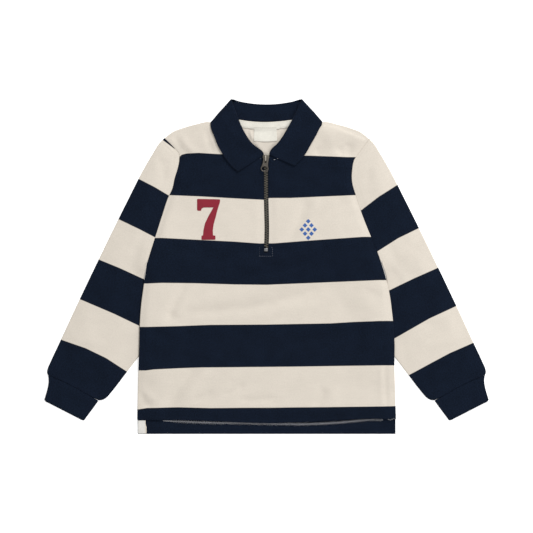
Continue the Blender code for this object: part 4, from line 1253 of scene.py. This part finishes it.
def collar_piece(name, edges, rolls, corners, outs, levels, parts, counts, thick, rolled, slant, lift):
    """A strip folded over both shoulders, from the wearer's right front end round the back.

    levels(x, y) gives the lowest and highest middle of the cloth. rolled(x, y) gives the levels
    where the strip ends after it has rolled over, or is None. slant is that of the folds, and
    lift is how far the free edges in front stand up. At a station, turn runs from a quarter turn
    where the strip lies high to minus a quarter where it lies low, and near is 1 at a front end.
    """
    stations = []
    for facet, level in enumerate((1, 0, 1)):
        for share in np.linspace(0.0, 1.0, counts[facet]):
            near = level * float(step(share if facet == 0 else 1.0 - share, 0.16, 0.0))
            turn = (level - 0.5) * math.pi
            stations.append((edges[facet](share), rolls[facet](share), np.zeros(2), turn, near))
        if facet < 2:
            for turn in COLLAR_TURNS[:: 1 - 2 * facet]:
                stations.append((*slanted(corners[facet], turn, slant), outs[facet], turn, 0.0))
    rows = []
    cloth = []
    thickness = []
    along = 0.0
    for edge, roll, out, turn, near in stations:
        share = (1 + math.sin(turn)) / 2
        span = np.linalg.norm(roll - edge)
        run = (roll - edge) / span
        if rolled is not None:
            low, high = levels(*roll)
            end_low, end_high = rolled(*roll)
            end = end_low + share * (end_high - end_low)
            span = span - abs(low + share * (high - low) - end) / 2 - thick / 2
        x, y = (edge[None] + parts[:, None] * span * run[None]).T
        low, high = levels(x, y)
        reach = (high - low) / 2 * math.cos(turn)
        raised = lift * share * np.maximum((1 - parts) ** 4, near * (1 - parts) ** 0.7)
        z = low + share * (high - low) + raised
        row = np.column_stack([x + out[0] * reach, y + out[1] * reach, z])
        if rolled is not None:
            middle = (row[-1, 2] + end) / 2
            bend = (row[-1, 2] - end) / 2
            round_end = row[-1:, :2] + abs(bend) * np.cos(ROLL_TURNS)[:, None] * run[None]
            row = np.concatenate([row, np.column_stack([round_end, middle + bend * np.sin(ROLL_TURNS)])])
        if rows:
            along += np.linalg.norm(row[len(parts) // 2] - rows[-1][len(parts) // 2])
        across = np.concatenate([[0.0], np.cumsum(np.linalg.norm(np.diff(row, axis=0), axis=1))])
        rows.append(row)
        cloth.append(cloth_of(np.full_like(across, along), across, 1.0))
        thickness.append(thick * (1 - 0.55 * drop(across, FREE_EDGE) / FREE_EDGE))
    for last in (0, -1):
        thickness[last] = thickness[last] / 2
    quads = quads_of(numbered(len(rows), len(rows[0])))
    return thickened(name, np.concatenate(rows), np.concatenate(thickness), quads, np.concatenate(cloth))


def collar_leaf():
    corners, outs = zip(*(inset_corner(sign) for sign in (-1, 1)))
    fronts = [slanted(corner, math.pi / 2, LEAF_SLANT) for corner in corners]
    backs = [slanted(corner, -math.pi / 2, LEAF_SLANT) for corner in corners]
    lines = []
    for end, tables in enumerate(((EDGE_RIGHT, EDGE_BACK, EDGE_LEFT), (ROLL_RIGHT, ROLL_BACK, ROLL_LEFT))):
        lines.append(facets(*tables, [front[end] for front in fronts], [back[end] for back in backs]))
    parts = shares(LEAF_LENGTH, COLLAR_SPACING, (), FREE_EDGE)
    counts = (40, 64, 40)
    fold = (leaf_levels, parts, counts, LEAF, stand_levels, LEAF_SLANT, LEAF_LIFT)
    return collar_piece("collar_leaf_cloth", *lines, corners, outs, *fold)


def moved_in(rows, sign):
    """The roll line's rows, moved under the leaf."""
    points = np.array(rows, float)
    run = np.gradient(points, axis=0)
    run /= np.linalg.norm(run, axis=1, keepdims=True)
    return list(points + STAND_INSET * sign * np.stack([run[:, 1], -run[:, 0]], axis=1))


def beside(curve, sign, start, end, steps):
    """A neckline moved off the body, between two given ends."""
    return spline([start] + [moved_out(curve, share, sign, 2 * GAP) for share in steps] + [end])


def collar_stand():
    corners = [np.array(sided(STAND_CORNER, sign)) for sign in (-1, 1)]
    right, left = (corner[0] for corner in corners)
    edges = (
        beside(backwards(neck_front(-1)), 1, FRONT_ENDS[-1], right, FRONT_STEPS),
        beside(spline(NECK_BACK), -1, right, left, BACK_STEPS),
        beside(neck_front(1), 1, left, FRONT_ENDS[1], FRONT_STEPS),
    )
    ends = [corner[1] for corner in corners]
    rear = [(x, y - STAND_INSET) for x, y in ROLL_BACK]
    rolls = facets(moved_in(ROLL_RIGHT, 1), rear, moved_in(ROLL_LEFT, -1), ends, ends)
    outs = (np.array([-1.0, 0.0]), np.array([1.0, 0.0]))
    parts = shares(STAND_LENGTH, COLLAR_SPACING, (), FREE_EDGE)
    fold = (stand_levels, parts, (36, 48, 36), CLOTH, None, (0.0, 0.0, 0.0), 0.0)
    return collar_piece("collar_stand_cloth", edges, rolls, corners, outs, *fold)


# Trims.


def edged(low, high, count):
    """Even steps from low to high, with one more close to each end."""
    near = math.copysign(0.25, high - low)
    return np.array([low, low + near, *np.linspace(low, high, count + 1)[1:-1], high - near, high])


def grid(xs, ys):
    return np.stack(np.meshgrid(xs, ys), -1)


def strip(name, places, floor, thick):
    """A thin piece from a grid of places, with its edges rounded."""
    x, y = places.reshape(-1, 2).T
    inset = np.full(places.shape[:2], 0.3 * thick)
    inset[1:-1, 1:-1] = 0.0
    inset = inset.ravel()
    low = floor(x, y)
    quads = quads_of(numbered(*places.shape[:2]))
    layer(name, x, y, low + inset, low + thick - inset, quads, cloth_of(x, y, 0.0))


def thread(x, y, z, side, size, corners):
    """Rings of points round a thread, each in the plane of side and Z."""
    turns = np.arange(corners) * 2 * math.pi / corners
    out = np.multiply.outer(size, np.cos(turns))
    up = np.multiply.outer(size, np.sin(turns))
    return np.stack([x[:, None] + side[0] * out, y[:, None] + side[1] * out, z[:, None] + up], axis=-1)


def stitches(name, routes, floor, length, gap, radius):
    """Rows of stitches: short threads that dip into the cloth at both ends."""
    bulge = np.array([0.35, 0.85, 1.0, 0.85, 0.35])
    stacks = []
    for route in routes:
        table = np.array(route, float)
        lengths = np.concatenate([[0.0], np.cumsum(np.linalg.norm(np.diff(table, axis=0), axis=1))])
        for start in np.arange(0.0, lengths[-1] - length + 0.01, length + gap):
            along = start + length * np.array([0.0, 0.2, 0.5, 0.8, 1.0])
            x, y = (np.interp(along, lengths, values) for values in table.T)
            run = np.array([x[-1] - x[0], y[-1] - y[0]]) / math.hypot(x[-1] - x[0], y[-1] - y[0])
            z = floor(x, y) + radius * (bulge - 0.7)
            stacks.append(thread(x, y, z, (-run[1], run[0]), radius * bulge, 5))
    add_mesh(name, *solids(stacks))


def tape_floor(x, y):
    return back_top(x, y) + 0.1


def tape_top(x, y):
    return tape_floor(x, y) + NECK_TAPE_THICK


def label_floor(x, y):
    """The label hangs from the tape, and its lower edge stands up a little."""
    return back_top(x, y) + 0.15 + TRIM * step(y, 209.0, 212.0) + 0.4 * step(y, 204.0, 192.0)


def label_top(x, y):
    return label_floor(x, y) + LABEL_THICK


def neck_trims():
    """The tape over the back neck seam, the label with its bowed lower edge, and the size tab."""
    top = spline(NECK_BACK)(np.linspace(0.03, 0.97, 48))
    down = np.array([0.0, -1.0])
    tape = top + edged(NECK_TAPE_WIDTH, GAP, 5)[:, None, None] * down
    strip("neck_tape_woven", tape, tape_floor, NECK_TAPE_THICK)
    left, right, low, high = LABEL
    x, y = np.meshgrid(edged(left, right, 20), edged(low, high, 12))
    middle = (left + right) / 2
    hang = (high - y) / (high - low)
    bow = 1.2 * hang * (1.0 - ((x - middle) / (right - left) * 2) ** 2)
    label = np.stack([middle + (x - middle) * (1 + 0.035 * hang), y - bow], -1)
    strip("neck_label_woven", label, label_floor, LABEL_THICK)
    strip("size_tab_woven", grid(edged(*SIZE_TAB[:2], 3), edged(*SIZE_TAB[2:], 3)), tape_top, 0.4)
    on_tape = [top + (NECK_TAPE_WIDTH - 2.2) * down, top + 1.6 * down]
    stitches("neck_tape_stitches", on_tape, tape_top, 2.4, 0.8, 0.2)
    stitches("back_neck_stitches", [top + (NECK_TAPE_WIDTH + 1.0) * down], back_top, 2.4, 0.8, 0.2)
    row = [(left + 1.2, high - 1.0), (right - 1.2, high - 1.0)]
    stitches("label_stitches", [row], label_top, 1.8, 0.8, 0.16)


def vent_trim():
    """The tape over the side vent's seam, and the edge of cloth that it folds round."""
    left, right, low, high = VENT_TAPE
    ys = edged(low, high, 8)
    strip("vent_tape_woven", grid(edged(left, right, 5), ys), on_back, TRIM)
    far = right + 0.9 + 1.4 * step(ys, -245.5, -247.5)
    fold = np.stack([grid(edged(right, end, 2), [y])[0] for end, y in zip(far, ys)])
    strip("vent_fold", fold, on_back, 0.8)


def coverstitch():
    """The looper threads that cover the raw edge of the back's hem, seen on its inside."""
    x = np.arange(-160.4, 180.6, 0.52)
    taper = 0.12 + 0.88 * step(x, -162.0, -132.0) * step(x, 183.0, 175.0)
    middle = np.interp(x, *np.array(COVERSTITCH).T)
    stacks = []
    for strand, (swing, phase, pitch) in enumerate(STRANDS):
        turn = np.abs(np.mod((np.arange(len(x)) + phase) / pitch, 1.0) * 2 - 1) * 2 - 1
        uneven = 1.0 + 0.25 * np.sin(x / 2.3 + strand) + 0.2 * np.sin(x / 7.3 + 2 * strand)
        y = middle + COVER_HALF * swing * turn * uneven * taper
        z = back_top(x, y) + 0.3 + 0.08 * strand
        stacks.append(thread(x, y, z, (0.0, 1.0), np.full_like(x, COVER_THREAD), 4))
    add_mesh("coverstitch_threads", *solids(stacks))


def body_stitches():
    """Rows of stitches on the front: their routes, and each stitch's length, gap and radius."""
    left, right, low, high = ZIP_BOX
    hem_x = np.linspace(-197.0, 197.0, 60)
    hem_y = np.interp(hem_x, *np.array(FRONT_HEM).T) + HEM_DEPTH + 5.0
    box_routes = [[(left, low), (right, low)], [(right, low), (right, high)]]
    box_routes.append([(right, high), (right - 4.0, high)])
    end_routes = [[(11.0, 164.8), (15.0, 165.8)], [(16.3, 166.5), (19.4, 167.6)]]
    tack_routes = [[(-10.2, 167.0), (-5.9, 167.0)], [(4.9, 174.9), (7.9, 174.4)]]
    vent_routes = [[(188.2, -236.6), (192.0, -238.0), (196.0, -236.6), (199.0, -234.6)]]
    for name, routes, *size in (
        ("zip_box_stitches", box_routes, 2.0, 1.3, 0.19),
        ("zip_box_worn_stitches", [[(left, high), (left, low)]], 0.9, 2.2, 0.16),
        ("collar_end_stitches", end_routes, 3.0, 1.0, 0.24),
        ("collar_end_tacks", tack_routes, 2.4, 0.8, 0.2),
        ("front_hem_stitches", [list(zip(hem_x, hem_y))], 2.2, 0.9, 0.18),
        ("vent_end_stitches", vent_routes, 2.0, 0.9, 0.24),
    ):
        stitches(name, routes, front_surface, *size)


# Printed and sewn-on motifs.


def motif(name, outlines, thick):
    """Flat shapes that follow the front, each from its outline."""
    points = []
    faces = []
    for outline in outlines:
        work = bmesh.new()
        work.faces.new([work.verts.new((x, y, 0.0)) for x, y in outline])
        bmesh.ops.triangulate(work, faces=work.faces)
        for _ in range(3):
            long_edges = [edge for edge in work.edges if edge.calc_length() > SPACING]
            bmesh.ops.subdivide_edges(work, edges=long_edges, cuts=1)
        bmesh.ops.triangulate(work, faces=work.faces)
        work.verts.index_update()
        x, y = np.array([vertex.co[:2] for vertex in work.verts]).T
        base = len(points)
        top = base + len(x)
        surface = front_surface(x, y)
        for height in (0.02, thick):
            points.extend(np.column_stack([x, y, surface + height]))
        for face in work.faces:
            corners = [vertex.index for vertex in face.verts]
            faces += [[base + corner for corner in reversed(corners)], [top + corner for corner in corners]]
        for edge in work.edges:
            if len(edge.link_faces) == 1:
                a, b = (vertex.index for vertex in edge.verts)
                faces.append((base + a, base + b, top + b, top + a))
        work.free()
    add_mesh(name, points, faces, sharp=35.0)


def ellipse(centre, half_x, half_y, start, end, count, whole=False):
    """Points of an ellipse or of an arc between two angles in degrees."""
    turns = np.radians(np.linspace(start, end, count, endpoint=not whole))
    return [(centre[0] + half_x * math.cos(t), centre[1] + half_y * math.sin(t)) for t in turns]


def arc(x, y, radius, start, end, count=3):
    return ellipse((x, y), radius, radius, start, end, count)


def figure_seven():
    """A slab-serif figure: a bar with a drop at its left, and a curved stem on a foot."""
    left, right, top, foot = -107.4, -71.9, 104.2, 41.1
    outline = arc(left + 1.2, top - 1.2, 1.2, 180, 90, 4) + arc(right - 1.0, top - 1.5, 1.0, 90, 0, 4)
    outline += [(-72.1, 98.9), (-74.2, 92.7), (-76.1, 86.5), (-78.7, 76.0), (-81.8, 65.0), (-83.1, 55.0)]
    outline += [(-82.8, 47.8)] + arc(-80.2, 46.4, 1.2, 90, 0) + arc(-80.2, foot + 1.2, 1.2, 0, -90)
    outline += arc(-99.4, foot + 1.2, 1.2, 270, 180) + arc(-99.4, 46.4, 1.2, 180, 90)
    outline += [(-98.2, 47.8), (-97.5, 56.0), (-95.0, 67.0), (-89.6, 78.0), (-84.2, 87.4), (-82.2, 91.2)]
    outline += [(-89.0, 91.1), (-97.0, 91.1), (-99.6, 90.0), (-100.8, 88.2)]
    return outline + arc(-102.6, 87.8, 1.8, 0, -90, 4) + arc(left + 1.8, 87.8, 1.8, 270, 180, 4)


def lozenge_group():
    """A small generic device: nine diamonds in rows of one, two, three, two and one."""
    outlines = []
    for row, count in enumerate((1, 2, 3, 2, 1)):
        for place in range(count):
            x = 64.6 + (place - (count - 1) / 2) * 10.0
            y = 69.8 - row * 6.4
            outlines.append([(x, y + 3.6), (x - 3.6, y), (x, y - 3.6), (x + 3.6, y)])
    return outlines


# The zip.


def chain_floor(y):
    return float(back_top(ZIP_X, y)) + GAP + TRIM + GAP


def zip_teeth():
    """Two rows of teeth that take turns along the closed chain."""
    middle = (TOOTH[0][0] + TOOTH[2][0]) / 2
    stacks = []
    for sign, start in TOOTH_STARTS.items():
        for tooth in range(int((CHAIN_Y[1] - CHAIN_Y[0]) / TOOTH_PITCH)):
            y = CHAIN_Y[0] + start + tooth * TOOTH_PITCH
            x = zip_middle(y)
            z = chain_floor(y)
            rings = []
            for height, size in TOOTH_LEVELS:
                wide = (1 + size) / 2
                ring = [(sign * (middle + (px - middle) * wide), py * size) for px, py in TOOTH[::sign]]
                rings.append([(x + px, y + py, z + height) for px, py in ring])
            stacks.append(rings)
    add_mesh("zip_teeth", *solids(stacks), sharp=30.0)


def zip_tapes():
    for sign, side in SIDE_NAMES.items():
        places = grid(edged(sign * GAP / 2, sign * ZIP_TAPE_WIDTH, 6), edged(*ZIP_TAPE_Y, 40))
        places[..., 0] += zip_middle(places[..., 1])
        strip(f"zip_tape_{side}_woven", places, on_back, TRIM)


def worked(piece, cuts, width, segments=2):
    """Cuts solids out of a piece and rounds its sharp edges."""
    helpers = []
    for points, faces in cuts:
        helpers.append(shown("helper", mesh_of("helper", points, faces)))
        modifier = piece.modifiers.new("cut", "BOOLEAN")
        modifier.operation = "DIFFERENCE"
        modifier.object = helpers[-1]
    bevel = piece.modifiers.new("bevel", "BEVEL")
    bevel.width = width * MM
    bevel.segments = segments
    bevel.limit_method = "ANGLE"
    bevel.angle_limit = math.radians(35)
    graph = bpy.context.evaluated_depsgraph_get()
    mesh = bpy.data.meshes.new_from_object(piece.evaluated_get(graph))
    piece.modifiers.clear()
    piece.data = mesh
    mesh.shade_smooth()
    mesh.set_sharp_from_angle(angle=math.radians(40))
    for helper in helpers:
        bpy.data.objects.remove(helper)


SLIDER_LOW = chain_floor(SLIDER_Y[1]) + CHAIN_THICK + GAP
SLIDER_TOP = SLIDER_LOW + SLIDER_PLATE


def zip_slider():
    """The slider's plate over the chain, and the bridge that holds the pull, in a lighter metal that paints
    its highlight.
    """
    middle = (SLIDER_Y[0] + SLIDER_Y[1]) / 2
    half = (SLIDER_Y[1] - SLIDER_Y[0]) / 2
    side = [(2.6, -half), (3.0, -half + 0.8), (3.2, -1.5), (SLIDER_HALF - 0.4, 0.2), (SLIDER_HALF, 1.3)]
    side += [(SLIDER_HALF, half - 1.6), (SLIDER_HALF - 0.6, half - 0.6), (SLIDER_HALF - 1.6, half)]
    side += [(1.0, half), (0.0, half - 1.2)]
    outline = [(ZIP_X + x, middle + y) for x, y in side + sided(side[-2::-1], -1)]
    points, faces = plate(outline, SLIDER_LOW - SLIDER_FLANGE, SLIDER_TOP)
    slider = add_mesh("zip_slider_metal", points, faces, sharp=35.0)
    low_y = SLIDER_Y[0] - 1.0
    low_z = SLIDER_LOW - 1.0
    reach = CHAIN_HALF + GAP
    channel = box((ZIP_X - reach, low_y, low_z), (ZIP_X + reach, SLIDER_Y[1] + 1.0, SLIDER_LOW))
    pin_hole = box((BAIL_X - 1.1, low_y, low_z), (BAIL_X + 1.3, SLIDER_Y[0] + 2.0, SLIDER_TOP + 1.0))
    worked(slider, [channel, pin_hole], 0.22)
    arch = []
    for turn in np.linspace(0.0, math.pi, 13):
        height = BAIL_HEIGHT * math.sin(turn) ** 0.35 - 0.4
        arch.append((BAIL_Y + BAIL_LENGTH / 2 * math.cos(turn), SLIDER_TOP + height))
    inside = BAIL_LENGTH / 2 - 1.2
    hole = [(inside, 0.0), (inside, 1.3), (inside - 0.6, 2.0)]
    hole = [(BAIL_Y + y, SLIDER_TOP + z) for y, z in hole + sided(hole[::-1], -1)]

    def across(profile, reach):
        points, faces = plate(profile, -reach, reach)
        return [(BAIL_X + x, y, z) for y, z, x in points], faces

    # The bridge takes the lighter gunmetal, a painted highlight on its top.
    bridge = add_mesh("zip_slider_bridge", *across(arch, BAIL_WIDTH / 2), sharp=35.0)
    worked(bridge, [across(hole, 3.0)], 0.25)


def zip_pull():
    """A loose pull: a crossbar under the bridge, a slot round it, a neck and a ring."""
    middle = (0.0, PULL_HOLE_Y)
    outline = sided(PULL_SIDE, -1) + ellipse(middle, *PULL_RING, 152.0, 388.0, 33) + PULL_SIDE[::-1]
    half = BAIL_WIDTH / 2 + 1.0
    height = SLIDER_TOP + GAP + PULL_THICK / 2
    turn = np.array([[math.cos(PULL_YAW), -math.sin(PULL_YAW)], [math.sin(PULL_YAW), math.cos(PULL_YAW)]])

    def placed(points, faces):
        points = np.array(points, float)
        points[:, :2] = points[:, :2] @ turn.T + (ZIP_X, PIVOT_Y)
        return points + (0.0, 0.0, height), faces

    slot = placed(*box((-half - 0.4, PULL_SLOT[0], -2.0), (half - 0.4, PULL_SLOT[1], 2.0)))
    hole = placed(*plate(ellipse(middle, *PULL_HOLE, 0.0, 360.0, 32, True), -2.0, 2.0))
    dimple = placed(*plate(ellipse((0.0, -8.3), 0.9, 0.9, 0.0, 360.0, 16, True), 0.25, 2.0))
    points, faces = placed(*plate(outline, -PULL_THICK / 2, PULL_THICK / 2))
    pull = add_mesh("zip_pull_metal", points, faces, sharp=35.0, body="pull")
    worked(pull, [slot, hole, dimple], 0.25, 3)


def bottom_stop():
    low = chain_floor(STOP_Y[0])
    top = low + CHAIN_THICK + 0.2
    points, faces = box((ZIP_X - STOP_HALF, STOP_Y[0], low), (ZIP_X + STOP_HALF, STOP_Y[1], top))
    worked(add_mesh("zip_bottom_stop_metal", points, faces), [], 0.9, 4)


# The surroundings.


def surroundings():
    """A white floor, a soft white world, two lights and the camera straight above."""
    scene = bpy.context.scene
    scene.world = bpy.data.worlds.new("studio")
    scene.world.use_nodes = True
    background = scene.world.node_tree.nodes["Background"]
    background.inputs["Color"].default_value = (*WHITE, 1.0)
    background.inputs["Strength"].default_value = WORLD_LIGHT
    for name, place, size, power in LIGHTS:
        light = bpy.data.lights.new(name, "AREA")
        light.shape = "SQUARE"
        light.size = size
        light.energy = power
        lamp = shown(name, light)
        lamp.location = place
        lamp.rotation_euler = (-Vector(place)).to_track_quat("-Z", "Y").to_euler()
    n = Nodes("floor_paper")
    n.finish(FLOOR, 0.9, specular=0.1)
    n.put(n.shader, {"Emission Color": WHITE, "Emission Strength": FLOOR_GLOW})
    mesh = bpy.data.meshes.new("floor")
    corners = [(-1, -1), (1, -1), (1, 1), (-1, 1)]
    mesh.from_pydata([(x * FLOOR_HALF, y * FLOOR_HALF, FLOOR_Z) for x, y in corners], [], [(0, 1, 2, 3)])
    mesh.materials.append(n.material)
    shown("floor", mesh)
    camera_data = bpy.data.cameras.new("camera")
    camera_data.lens = LENS
    camera_data.sensor_width = SENSOR
    camera = shown("camera", camera_data)
    camera.location = (0.0, CAMERA_Y, VIEW_WIDTH * LENS / SENSOR)
    scene.camera = camera
    scene.view_settings.view_transform = "Standard"


def main():
    knit("striped_knit", striped=True)
    knit("collar_knit")
    knit("rib_knit", rib=CUFF_RIB)
    for name, look in PLAIN.items():
        plain(name, *look)

    front = front_cloth()
    back = back_cloth()
    right, left = (sleeve(sign) for sign in SIDE_NAMES)
    cuffs = [cuff(sign) for sign in SIDE_NAMES]
    for sign in SIDE_NAMES:
        armhole_seam(sign)
    for sign in SIDE_NAMES:
        cuff_seam(sign)
    leaf = collar_leaf()
    stand = collar_stand()
    neck_trims()
    vent_trim()
    coverstitch()
    body_stitches()
    motif("figure_seven", [figure_seven()], 0.35)
    motif("lozenge_group", lozenge_group(), 0.2)
    zip_teeth()
    zip_tapes()
    zip_slider()
    zip_pull()
    bottom_stop()

    surroundings()


main()
